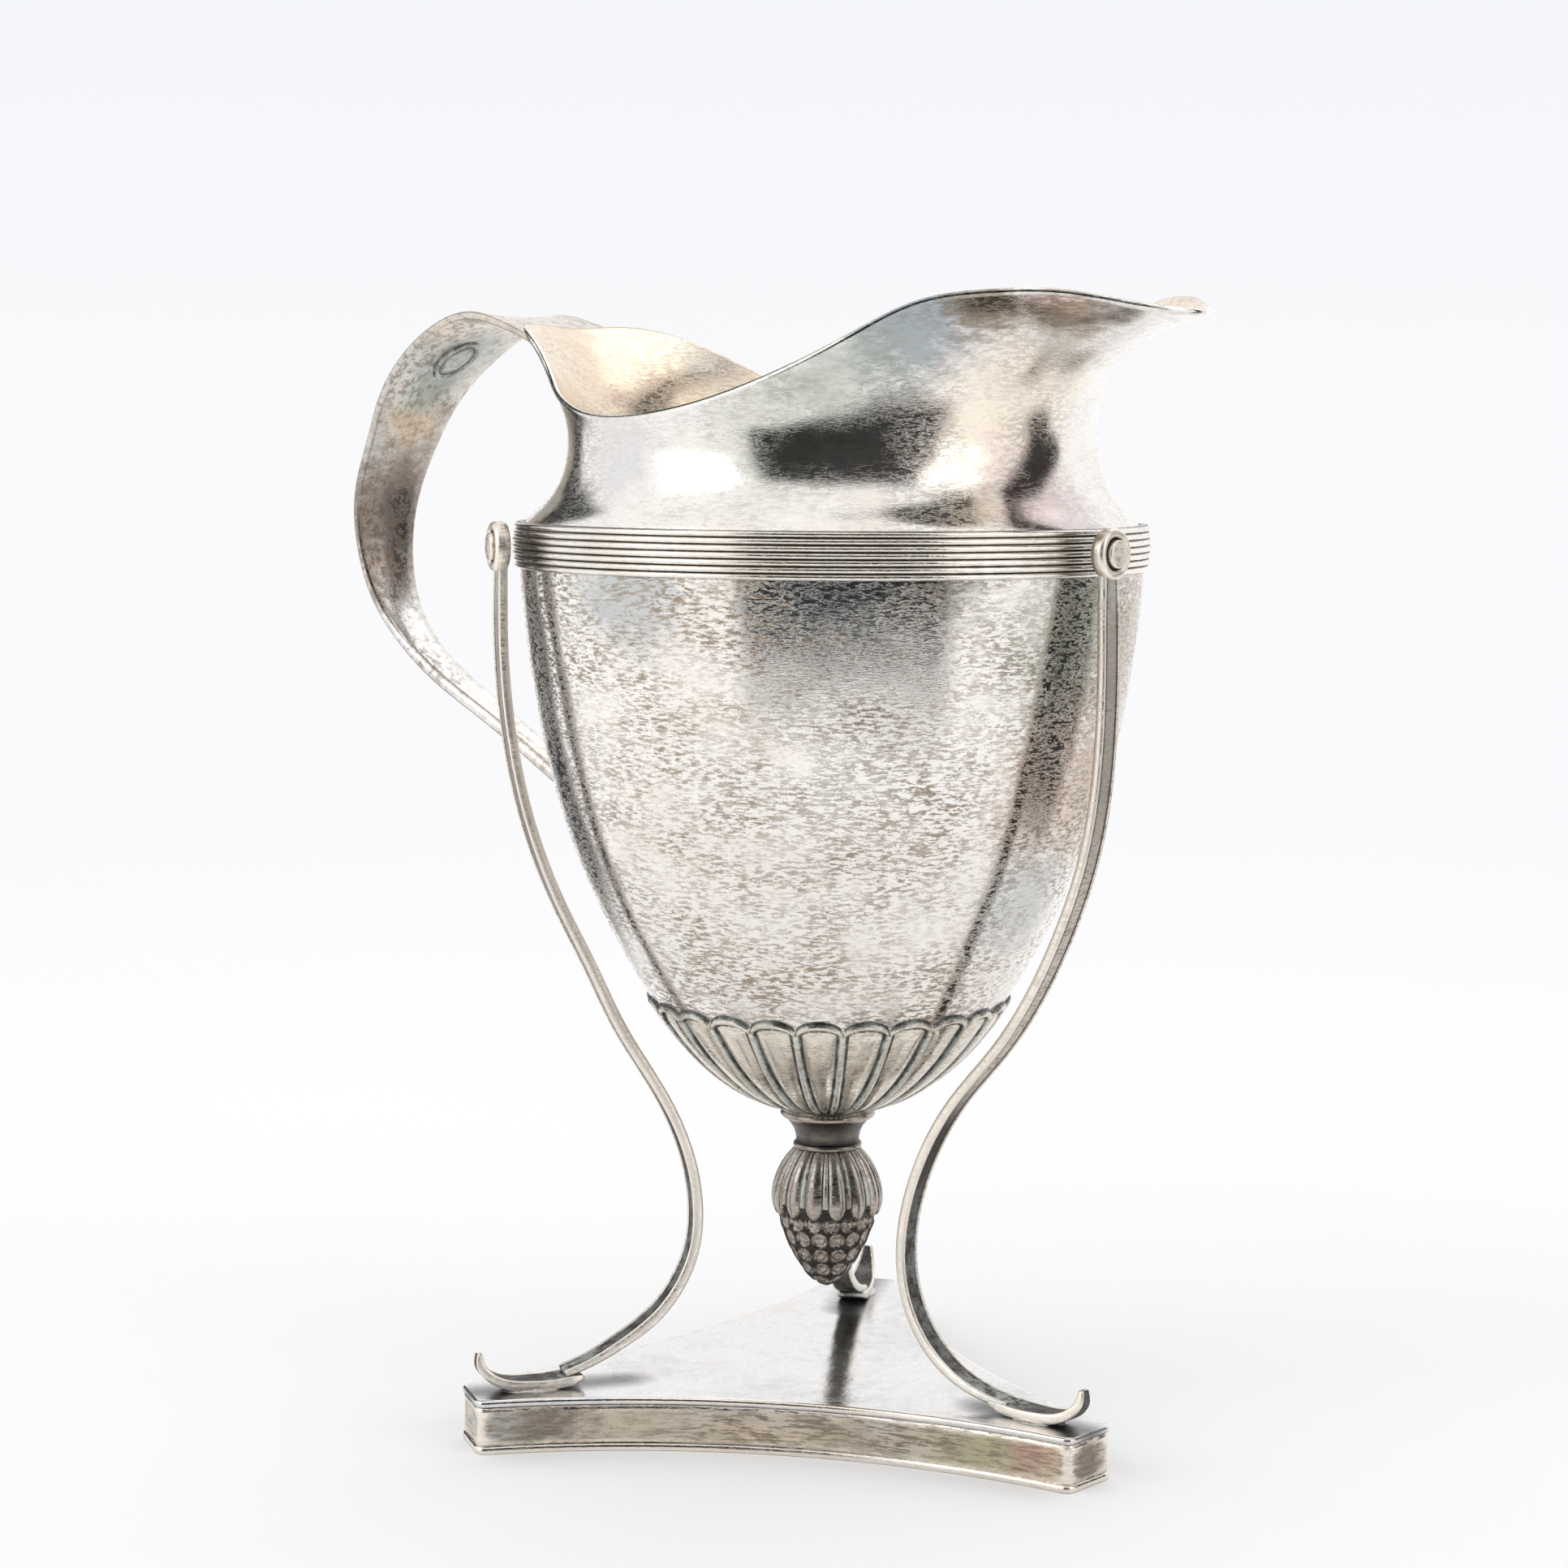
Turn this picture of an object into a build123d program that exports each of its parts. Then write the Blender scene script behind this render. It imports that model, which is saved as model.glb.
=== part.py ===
from build123d import *
import math
import os

# Helmet-shaped silver cream jug on three strap legs and a three-sided base.
# Frame: +Z up, origin at the centre of the base on the table.
# The pouring spout is over +X and the handle over -X.

# ---- driving dimensions (mm) ----
base_offset = (-1.55, -1.6)   # the base sits a little off the axis of the bowl
base_corner_radius = 44.8     # centre to the middle of each clipped corner
base_corner_half = 4.2        # half length of a clipped corner
base_side_hollow = {"right": 5.8, "rear": 4.2, "front": 7.9}    # depth of each hollowed side
base_height = 6.8
base_edge_fillet = 1.1
plate_thickness = 0.9
wall_thickness = 1.0
foot_wire_height = 0.9
foot_wire_lip = 0.3

body_wall = 1.2
body_bottom_z = 41.0
body_bottom_radius = 7.5
joint_z = 112.2               # the body ends and the neck begins, under the reeded band
joint_radius = 39.3
shoulder_height = 16.0        # how far below the joint the body has its last outline point

neck_wall = 1.0
neck_foot_radius = 38.9
waist_z = 125.0
waist_radius = 33.3
rear_joint_x = -46.0          # the handle meets the tongue of the neck here

band_bottom_z = 109.4
band_top_z = 115.1
band_inner_radius = 39.36
band_edge_radius = 39.7
band_crown = 0.35
reed_count = 6
reed_height = 0.22
reed_share = 0.62             # how much of the pitch each reed fills

lobe_count = 24
calyx_wall = 0.9
calyx_top_z = 54.8
calyx_bottom_z = 41.4
calyx_notch_width = 1.4
calyx_notch_depth = 1.6
calyx_notch_reach = 8.0

finial_top_z = 36.6
berry_top_z = 28.2
berry_top_radius = 6.3
berry_tip_z = 17.6
leaf_radius = 7.0
leaf_tip_radius = 6.6
leaf_root_radius = 3.9
leaf_count = 14
leaf_notch_width = 0.7
leaf_notch_depth = 1.6
leaf_notch_height = 5.0
collar_root_radius = 4.0
collar_bead_radius = 5.7
collar_bead_z = 39.2
pin_radius = 0.9
pin_bottom_z = 20.5

leg_width = 3.5
leg_thickness = 1.3
leg_angles = {"spout": 0, "right": 120, "left": 240}
boss_z = 112.3
boss_ring_radius = 3.1
boss_ring_thickness = 0.8
rivet_head_radius = 1.75
rivet_head_height = 1.5
rivet_shank_radius = 0.9
rivet_start_radius = 40.3     # the shank starts on the crown of the band
strap_face_radius = 43.45     # outer face of the strap at its top

pad_width = 4.4
pad_length = 6.5
pad_middle = {"spout": 36.2, "right": 36.8, "left": 39.2}    # radius of the middle of each pad
pad_height = 0.45

handle_thickness = 1.5
handle_blank_half = 20.0      # half width of the strap before it is tapered
handle_reach = 100.0
handle_end = (-33.0, 72.2)    # the strap meets the body here
rosette_at = (-68.6, 0.0, 136.2)
rosette_slope = 34            # degrees that the strap falls at the rosette
rosette_half_length = 3.9
rosette_half_width = 3.3
rosette_thickness = 0.7

os.makedirs("parts", exist_ok=True)


def save(part, name):
    part.label = name
    export_step(part, f"parts/{name}.step")


def polar(radius, degrees, z=0.0):
    angle = math.radians(degrees)
    return (radius * math.cos(angle), radius * math.sin(angle), z)


# ---- outlines shared by several pieces ----
# (radius, height) of the bowl, bottom to joint
bowl_points = [
    (body_bottom_radius, body_bottom_z),
    (17.9, 48.0),
    (27.2, 62.0),
    (35.4, 84.0),
    (joint_radius - 0.9, joint_z - shoulder_height),
    (joint_radius, joint_z),
]


def bowl_outline(offset, top_z):
    """Closed half outline of the bowl, moved outwards by offset, cut level at top_z."""
    points = [(r + offset, z - 0.4 * offset) for r, z in bowl_points if z < top_z - 4]
    joined = points + [(bowl_radius(top_z) + offset, top_z)]
    if top_z == joint_z:
        Spline(*joined, tangents=[(0.92, 0.4), (0, 1)])
    else:
        Spline(*joined)
    Polyline(joined[-1], (0, top_z), (0, joined[0][1]), joined[0])


def bowl_radius(z):
    """Outer radius of the bowl at height z, straight between the outline points."""
    for (r0, z0), (r1, z1) in zip(bowl_points, bowl_points[1:]):
        if z0 <= z <= z1:
            return r0 + (r1 - r0) * (z - z0) / (z1 - z0)
    return joint_radius


# ---- base ----
base_corners = [
    (polar(base_corner_radius, 120 * k), 120 * k) for k in range(3)
]


def corner_end(k, side):
    """End of clipped corner k: side -1 comes first going anticlockwise, +1 second."""
    (x, y, _), angle = base_corners[k % 3]
    dx, dy, _ = polar(side * base_corner_half, angle + 90)
    return (x + dx, y + dy)


def base_outline():
    """Three clipped corners joined by hollowed arcs."""
    for k, side in enumerate(("right", "rear", "front")):
        start = corner_end(k, 1)
        end = corner_end(k + 1, -1)
        middle_radius = math.hypot((start[0] + end[0]) / 2, (start[1] + end[1]) / 2)
        middle = polar(middle_radius - base_side_hollow[side], 120 * k + 60)[:2]
        Line(corner_end(k, -1), start)
        ThreePointArc(start, middle, end)


def base_plane(z):
    return Plane(origin=(*base_offset, z))


with BuildPart() as base_plate:
    with BuildSketch(base_plane(base_height - plate_thickness)) as plate_sketch:
        with BuildLine():
            base_outline()
        make_face()
        fillet(plate_sketch.vertices(), base_edge_fillet)
    extrude(amount=plate_thickness)

with BuildPart() as base_wall:
    with BuildSketch(base_plane(foot_wire_height)) as wall_sketch:
        with BuildLine():
            base_outline()
        make_face()
        fillet(wall_sketch.vertices(), base_edge_fillet)
        offset(amount=-wall_thickness, mode=Mode.SUBTRACT)
    extrude(amount=base_height - plate_thickness - foot_wire_height)

with BuildPart() as base_foot_wire:
    with BuildSketch(base_plane(0)) as wire_sketch:
        with BuildLine():
            base_outline()
        make_face()
        fillet(wire_sketch.vertices(), base_edge_fillet)
        offset(amount=foot_wire_lip)
        offset(amount=-wall_thickness - 2 * foot_wire_lip, mode=Mode.SUBTRACT)
    extrude(amount=foot_wire_height)

# ---- body ----
with BuildPart() as body:
    with BuildSketch(Plane.XZ):
        with BuildLine():
            bowl_outline(0, joint_z)
        make_face()
    revolve(axis=Axis.Z)
    with BuildSketch(Plane.XZ):
        with BuildLine():
            inner = [(r - body_wall, z + 0.35 * body_wall) for r, z in bowl_points]
            inner[0] = (body_bottom_radius - 1.0, body_bottom_z + body_wall)
            inner[-1] = (joint_radius - body_wall, joint_z + 0.01)
            Spline(*inner, tangents=[(0.92, 0.4), (0, 1)])
            Polyline(inner[-1], (0, inner[-1][1]), (0, inner[0][1]), inner[0])
        make_face()
    revolve(axis=Axis.Z, mode=Mode.SUBTRACT)

# ---- neck ----
# Level sections of the neck: height, side radius, how far the spout and the rear tongue stand out.
neck_sections = [
    (joint_z, neck_foot_radius, 0.0, 0.0),
    (114.4, neck_foot_radius - 0.2, 0.0, 0.0),
    (117.2, 36.6, 0.0, 0.0),
    (120.4, 34.3, 0.0, 0.0),
    (waist_z, waist_radius, 0.0, 0.0),
    (127.5, 33.7, 0.5, 0.5),
    (130.0, 34.3, 1.7, 1.5),
    (132.0, 34.8, 3.1, 2.6),
    (134.0, 35.2, 5.1, 4.0),
    (136.0, 35.7, 8.3, 5.6),
    (137.6, 36.2, 11.8, 7.0),
    (139.0, 36.6, 15.4, 8.4),
    (140.2, 36.9, 18.4, 9.9),
    (141.4, 37.2, 21.3, 11.6),
    (143.8, 37.9, 27.0, 15.0),
]
spout_spread = 19.0           # degrees over which the spout fades into the side
tongue_spread = 33.0          # the same for the rear tongue
section_steps = 36

# The rim seen from the side: (x, z) from the rear tongue to the lip
rim_points = [
    (rear_joint_x, 140.0),
    (-41.0, 138.7),
    (-30.6, 133.8),
    (-19.5, 129.3),
    (-5.3, 127.8),
    (9.0, 129.8),
    (17.6, 133.0),
    (25.5, 137.3),
    (33.0, 141.7),
    (41.0, 143.0),
    (50.0, 141.6),
    (60.0, 139.0),
]
rim_cut_floor = 100.0
rim_cut_reach = 60.0


def neck_section(z, side, spout, tongue, inset):
    """One closed level section of the neck, moved inwards by inset."""
    points = []
    for step in range(section_steps):
        angle = 360 * step / section_steps
        off_spout = min(angle, 360 - angle)
        off_tongue = abs(180 - angle)
        radius = side - inset
        radius += spout * math.exp(-((off_spout / spout_spread) ** 2))
        radius += tongue * math.exp(-((off_tongue / tongue_spread) ** 2))
        points.append(polar(radius, angle)[:2])
    with BuildSketch(Plane.XY.offset(z)) as section:
        with BuildLine():
            Spline(*points, periodic=True)
        make_face()
    return section.sketch


def neck_solid(inset):
    """Solid inside the neck surface moved inwards by inset."""
    return loft([neck_section(*level, inset) for level in neck_sections])


outer_neck = neck_solid(0)
inner_neck = neck_solid(neck_wall)

with BuildPart() as neck:
    add(outer_neck)
    add(inner_neck, mode=Mode.SUBTRACT)
    with BuildSketch(Plane.XZ):
        with BuildLine():
            Spline(*rim_points)
            Polyline(
                rim_points[-1],
                (rim_points[-1][0], rim_cut_floor),
                (rear_joint_x, rim_cut_floor),
                rim_points[0],
            )
        make_face()
    extrude(amount=rim_cut_reach, both=True, mode=Mode.INTERSECT)

# ---- rivets, needed by the legs that they pass through ----
rivets = {}
for name, angle in leg_angles.items():
    radial = Plane(origin=polar(0, angle, boss_z), x_dir=(0, 0, 1), z_dir=polar(1, angle))
    with BuildPart() as rivet:
        with BuildSketch(radial.offset(rivet_start_radius)):
            Circle(rivet_shank_radius)
        extrude(amount=strap_face_radius - rivet_start_radius)
        with BuildSketch(radial.offset(strap_face_radius)):
            Circle(rivet_head_radius)
        extrude(amount=rivet_head_height)
        outer_edge = rivet.edges().sort_by(Axis((0, 0, boss_z), polar(1, angle)))[-1]
        fillet(outer_edge, rivet_head_height * 0.6)
    rivets[name] = rivet

# ---- reeded band ----
reed_pitch = (band_top_z - band_bottom_z) / reed_count
with BuildPart() as reeded_band:
    with BuildSketch(Plane.XZ):
        with Locations(((band_inner_radius + band_edge_radius) / 2, (band_bottom_z + band_top_z) / 2)):
            Rectangle(band_edge_radius - band_inner_radius, band_top_z - band_bottom_z)
        for reed in range(reed_count):
            reed_z = band_bottom_z + (reed + 0.5) * reed_pitch
            bulge = band_crown * math.sin(math.pi * (reed + 0.5) / reed_count)
            with Locations((band_inner_radius, reed_z)):
                Rectangle(
                    band_edge_radius + bulge + reed_height - band_inner_radius,
                    reed_pitch * reed_share,
                    align=(Align.MIN, Align.CENTER),
                )
    revolve(axis=Axis.Z)

# ---- calyx ----
with BuildPart() as calyx:
    with BuildSketch(Plane.XZ):
        with BuildLine():
            bowl_outline(calyx_wall, calyx_top_z)
        make_face()
    revolve(axis=Axis.Z)
    with Locations((0, 0, calyx_bottom_z)):
        Cylinder(
            joint_radius,
            calyx_bottom_z,
            align=(Align.CENTER, Align.CENTER, Align.MAX),
            mode=Mode.SUBTRACT,
        )
    with BuildSketch(Plane.XZ):
        with BuildLine():
            bowl_outline(0, joint_z)
        make_face()
    revolve(axis=Axis.Z, mode=Mode.SUBTRACT)
    with PolarLocations(bowl_radius(calyx_top_z), lobe_count, start_angle=180 / lobe_count):
        with Locations((0, 0, calyx_top_z)):
            Box(calyx_notch_reach, calyx_notch_width, 2 * calyx_notch_depth, mode=Mode.SUBTRACT)

# ---- collar and drop finial ----
with BuildPart() as collar:
    with BuildSketch(Plane.XZ):
        with BuildLine():
            root = (collar_root_radius, finial_top_z)
            flare = (collar_bead_radius - 0.1, collar_bead_z)
            Line((0, finial_top_z), root)
            throat = (collar_root_radius + 0.2, finial_top_z + 1.2)
            Spline(root, throat, flare, tangents=[(0, 1), (1, 0.3)])
            Polyline(
                flare,
                (collar_bead_radius, collar_bead_z + 0.7),
                (body_bottom_radius, body_bottom_z),
                (0, body_bottom_z),
                (0, finial_top_z),
            )
        make_face()
    revolve(axis=Axis.Z)
    Cylinder(pin_radius, 2 * base_corner_radius, mode=Mode.SUBTRACT)

with BuildPart() as finial_leaves:
    with BuildSketch(Plane.XZ):
        with BuildLine():
            Spline(
                (leaf_root_radius, finial_top_z),
                (5.9, 33.0),
                (leaf_radius, 29.4),
                (leaf_tip_radius, berry_top_z),
            )
            Polyline(
                (leaf_tip_radius, berry_top_z),
                (0, berry_top_z),
                (0, finial_top_z),
                (leaf_root_radius, finial_top_z),
            )
        make_face()
    revolve(axis=Axis.Z)
    Cylinder(pin_radius, 2 * base_corner_radius, mode=Mode.SUBTRACT)
    with PolarLocations(leaf_radius + 0.25, leaf_count, start_angle=180 / leaf_count):
        with Locations((0, 0, berry_top_z)):
            Box(leaf_notch_depth, leaf_notch_width, leaf_notch_height, mode=Mode.SUBTRACT)

with BuildPart() as finial_berry:
    with BuildSketch(Plane.XZ):
        with BuildLine():
            Spline(
                (berry_top_radius, berry_top_z),
                (5.2, 24.2),
                (2.9, 20.0),
                (0, berry_tip_z),
                tangents=[(0, -1), (-1, -0.25)],
            )
            Polyline((0, berry_tip_z), (0, berry_top_z), (berry_top_radius, berry_top_z))
        make_face()
    revolve(axis=Axis.Z)
    with Locations((0, 0, pin_bottom_z)):
        Cylinder(
            pin_radius,
            berry_top_z,
            align=(Align.CENTER, Align.CENTER, Align.MIN),
            mode=Mode.SUBTRACT,
        )

with BuildPart() as finial_pin:
    with Locations((0, 0, pin_bottom_z)):
        Cylinder(
            pin_radius,
            body_bottom_z - pin_bottom_z,
            align=(Align.CENTER, Align.CENTER, Align.MIN),
        )

# ---- legs: flat straps bent by hand, each a little differently, with bosses and solder pads ----
# (radius, height) of the middle of each strap, top to scroll tip
leg_top = (42.8, boss_z + 1.6)
leg_points = {
    "spout": [
        leg_top,
        (43.2, 98.0),
        (42.6, 84.0),
        (38.2, 68.0),
        (28.9, 52.0),
        (19.2, 40.0),
        (14.6, 28.0),
        (14.9, 18.0),
        (19.3, 12.5),
        (27.5, 9.0),
        (35.4, 7.6),
        (40.2, 8.3),
        (42.2, 11.8),
    ],
    "right": [
        leg_top,
        (43.0, 99.0),
        (41.7, 84.0),
        (36.9, 68.0),
        (28.2, 52.0),
        (19.9, 40.0),
        (16.0, 28.0),
        (17.5, 18.0),
        (22.5, 12.5),
        (29.5, 9.2),
        (36.4, 7.6),
        (41.2, 8.3),
        (43.2, 11.8),
    ],
    "left": [
        leg_top,
        (42.8, 100.0),
        (40.8, 84.0),
        (35.5, 68.0),
        (27.5, 52.0),
        (20.6, 40.0),
        (17.6, 28.0),
        (20.4, 18.0),
        (25.6, 13.0),
        (32.0, 9.7),
        (39.2, 7.6),
        (44.0, 8.3),
        (45.9, 12.0),
    ],
}
legs = {}
rings = {}
pads = {}
for name, angle in leg_angles.items():
    sideways = polar(1, angle + 90)
    foot_shift = base_offset[0] * sideways[0] + base_offset[1] * sideways[1]
    lean = foot_shift / (boss_z - base_height)
    leaning = Plane(
        origin=(0, 0, boss_z),
        x_dir=polar(1, angle),
        z_dir=polar(1, angle - 90, -lean),
    )
    radial = Plane(origin=polar(0, angle, boss_z), x_dir=(0, 0, 1), z_dir=polar(1, angle))
    with BuildPart() as leg:
        with BuildSketch(leaning):
            with BuildLine() as strap_line:
                Spline(*[(radius, height - boss_z) for radius, height in leg_points[name]])
            trace(strap_line.line, line_width=leg_thickness)
        extrude(amount=leg_width / 2, both=True)
        add(rivets[name].part, mode=Mode.SUBTRACT)
    legs[name] = leg

    with BuildPart() as ring:
        with BuildSketch(radial.offset(strap_face_radius)):
            Circle(boss_ring_radius)
            Circle(rivet_head_radius, mode=Mode.SUBTRACT)
        extrude(amount=boss_ring_thickness)
        add(leg.part, mode=Mode.SUBTRACT)
    rings[name] = ring

    with BuildPart() as pad:
        with BuildSketch(Plane(origin=(0, 0, base_height), x_dir=polar(1, angle))):
            with Locations((pad_middle[name], foot_shift)):
                Rectangle(pad_length, pad_width)
        extrude(amount=pad_height)
        add(leg.part, mode=Mode.SUBTRACT)
    pads[name] = pad

# ---- handle ----
# (x, z) of the middle of the strap, from the tongue of the neck to the start of its straight run
handle_points = [
    (rear_joint_x, 139.3),
    (-57.0, 141.7),
    (-69.4, 136.9),
    (-78.9, 127.0),
    (-83.4, 114.0),
    (-81.6, 103.4),
    (-75.4, 95.3),
    (-65.5, 89.6),
]
# (half width, height): the strap is widest at the top
handle_taper = [
    (2.4, 66.0),
    (2.5, 85.0),
    (3.5, 97.0),
    (5.2, 110.0),
    (6.5, 124.0),
    (8.4, 134.5),
    (9.3, 144.0),
]

with BuildPart() as handle:
    with BuildSketch(Plane.XZ):
        with BuildLine() as handle_line:
            bow = Spline(*handle_points, tangents=[(-1, 0.45), (1, -0.55)])
            Line(bow @ 1, handle_end)
        trace(handle_line.line, line_width=handle_thickness)
    extrude(amount=handle_blank_half, both=True)
    with BuildSketch(Plane.YZ):
        with BuildLine():
            left = Spline(*handle_taper)
            right = Spline(*[(-w, z) for w, z in handle_taper])
            Line(left @ 0, right @ 0)
            Line(left @ 1, right @ 1)
        make_face()
    extrude(amount=-handle_reach, mode=Mode.INTERSECT)
    add(neck.part, mode=Mode.SUBTRACT)
    with BuildSketch(Plane.XZ):
        with BuildLine():
            bowl_outline(0, joint_z)
        make_face()
    revolve(axis=Axis.Z, mode=Mode.SUBTRACT)

slope = math.radians(rosette_slope)
rosette_plane = Plane(
    origin=rosette_at,
    x_dir=(-math.cos(slope), 0, -math.sin(slope)),
    z_dir=(math.sin(slope), 0, -math.cos(slope)),
)
with BuildPart() as handle_rosette:
    with BuildSketch(rosette_plane):
        Ellipse(rosette_half_length, rosette_half_width)
    extrude(amount=rosette_thickness)
    add(handle.part, mode=Mode.SUBTRACT)

# ---- files ----
save(base_plate.part, "base_plate")
save(base_wall.part, "base_wall")
save(base_foot_wire.part, "base_foot_wire")
save(body.part, "body")
save(neck.part, "neck")
save(reeded_band.part, "reeded_band")
save(calyx.part, "calyx")
save(collar.part, "collar")
save(finial_leaves.part, "finial_leaves")
save(finial_berry.part, "finial_berry")
save(finial_pin.part, "finial_pin")
save(handle.part, "handle")
save(handle_rosette.part, "handle_rosette")
for name in leg_angles:
    save(legs[name].part, f"leg_{name}")
    save(rings[name].part, f"boss_ring_{name}")
    save(rivets[name].part, f"rivet_{name}")
    save(pads[name].part, f"foot_pad_{name}")
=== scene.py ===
import math

import bpy
import numpy as np
from mathutils import Matrix, Vector


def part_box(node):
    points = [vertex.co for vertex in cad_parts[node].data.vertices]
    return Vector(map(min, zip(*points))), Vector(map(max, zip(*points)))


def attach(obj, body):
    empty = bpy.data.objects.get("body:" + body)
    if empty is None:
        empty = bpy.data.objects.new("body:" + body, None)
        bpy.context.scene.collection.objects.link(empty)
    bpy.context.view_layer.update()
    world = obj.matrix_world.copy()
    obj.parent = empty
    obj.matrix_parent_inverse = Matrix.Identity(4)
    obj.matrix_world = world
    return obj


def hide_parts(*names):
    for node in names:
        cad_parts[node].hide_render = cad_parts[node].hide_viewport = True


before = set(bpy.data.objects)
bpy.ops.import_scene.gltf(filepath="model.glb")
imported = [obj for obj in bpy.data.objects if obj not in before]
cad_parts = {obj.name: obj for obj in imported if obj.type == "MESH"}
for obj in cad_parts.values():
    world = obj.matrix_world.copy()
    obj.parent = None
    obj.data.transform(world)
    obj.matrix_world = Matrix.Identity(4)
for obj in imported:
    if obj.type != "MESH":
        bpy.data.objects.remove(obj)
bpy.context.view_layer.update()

MM = 0.001
CAMERA_AZIMUTH = -49.607
LEG_ANGLES = {"spout": 0.0, "right": 120.0, "left": 240.0}


def box_mm(node):
    """Lowest and highest corner of a CAD node, in millimetres."""
    low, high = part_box(node)
    return np.array(low) / MM, np.array(high) / MM


# ---- curves ----
def unit(v):
    return v / np.linalg.norm(v, axis=-1, keepdims=True)


def cubic(x, y, t, start=None, end=None):
    """Cubic spline of y over x at the places t. Its ends are natural, or have the direction start or end."""
    n = len(x)
    h = np.diff(x)
    a = np.zeros((n, n))
    b = np.zeros_like(y)
    slope = np.diff(y, axis=0) / h[:, None]
    for i in range(1, n - 1):
        a[i, i - 1 : i + 2] = (h[i - 1], 2 * (h[i - 1] + h[i]), h[i])
        b[i] = 6 * (slope[i] - slope[i - 1])
    a[0, 0] = 1
    a[-1, -1] = 1
    if start is not None:
        a[0, :2] = (2 * h[0], h[0])
        b[0] = 6 * (slope[0] - unit(np.array(start, float)))
    if end is not None:
        a[-1, -2:] = (h[-1], 2 * h[-1])
        b[-1] = 6 * (unit(np.array(end, float)) - slope[-1])
    m = np.linalg.solve(a, b)
    i = np.clip(np.searchsorted(x, t, side="right") - 1, 0, n - 2)
    u = (t - x[i])[:, None]
    v = (x[i + 1] - t)[:, None]
    hi = h[i][:, None]
    return (
        m[i] * v**3 / (6 * hi)
        + m[i + 1] * u**3 / (6 * hi)
        + (y[i] / hi - m[i] * hi / 6) * v
        + (y[i + 1] / hi - m[i + 1] * hi / 6) * u
    )


def spline(points, count, start=None, end=None):
    """Smooth line through points, sampled at count even steps of chord length."""
    p = np.array(points, float)
    knots = np.concatenate([[0], np.cumsum(np.linalg.norm(np.diff(p, axis=0), axis=1))])
    return cubic(knots, p, np.linspace(0, knots[-1], count), start, end)


def round_table(table, angles):
    """Smooth values of a table of (degrees from the spout, value, ...), the same on both sides."""
    rows = np.array(table, float)
    mirrored = rows[1:-1][::-1].copy()
    mirrored[:, 0] = 360 - mirrored[:, 0]
    ring = np.vstack([rows, mirrored])
    whole_turn = np.zeros(ring.shape[1])
    whole_turn[0] = 360
    full = np.vstack([ring - whole_turn, ring, ring + whole_turn])
    return cubic(full[:, 0], full[:, 1:], np.array(angles, float))


def arc(cx, cy, radius, a0, a1, count):
    a = np.radians(np.linspace(a0, a1, count))
    return np.stack([cx + radius * np.cos(a), cy + radius * np.sin(a)], axis=1)


# ---- meshes ----
def make(name, verts, faces, material, shade=None, chalk=None, replaces=(), slot=None):
    """A piece from points in mm. shade is painted shade, 0 in recesses and 1 on open faces; chalk is a white
    deposit.
    """
    mesh = bpy.data.meshes.new(name)
    mesh.from_pydata((np.asarray(verts) * MM).tolist(), [], faces)
    mesh.update()
    obj = bpy.data.objects.new(name, mesh)
    bpy.context.scene.collection.objects.link(obj)
    for polygon in mesh.polygons:
        polygon.use_smooth = True
    for key, given, plain in (("shade", shade, 1.0), ("chalk", chalk, 0.0)):
        values = np.full(len(verts), plain)
        if given is not None:
            values = np.clip(np.asarray(given, float).ravel(), 0, 1)
        layer = mesh.attributes.new(key, "FLOAT", "POINT")
        layer.data.foreach_set("value", values.astype(np.float32))
    mesh.materials.append(material)
    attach(obj, "root")
    if replaces:
        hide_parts(*replaces)
    return obj


def grid_faces(nu, nv, close_u=True, close_v=False):
    """Quads of a grid whose vertex (i, j) is i * nv + j."""
    faces = []
    for i in range(nu if close_u else nu - 1):
        row = i * nv
        next_row = ((i + 1) % nu) * nv
        for j in range(nv if close_v else nv - 1):
            k = (j + 1) % nv
            faces.append((row + j, next_row + j, next_row + k, row + k))
    return faces


def lathe(profile, steps):
    """Points of a profile of (radius, height) turned about Z."""
    angles = np.linspace(0, 2 * math.pi, steps, endpoint=False)
    r, z = profile[:, 0], profile[:, 1]
    return np.stack(
        [np.outer(np.cos(angles), r), np.outer(np.sin(angles), r), np.tile(z, (steps, 1))], axis=-1
    )


def make_lathe(name, profile, material, steps, shade=None, **kwargs):
    profile = np.asarray(profile, float)
    verts = lathe(profile, steps).reshape(-1, 3)
    tone = None if shade is None else np.tile(shade, (steps, 1))
    return make(name, verts, grid_faces(steps, len(profile)), material, tone, **kwargs)


def grid_normals(grid):
    du = np.roll(grid, -1, axis=0) - np.roll(grid, 1, axis=0)
    dv = np.gradient(grid, axis=1)
    return unit(np.cross(du, dv))


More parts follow.
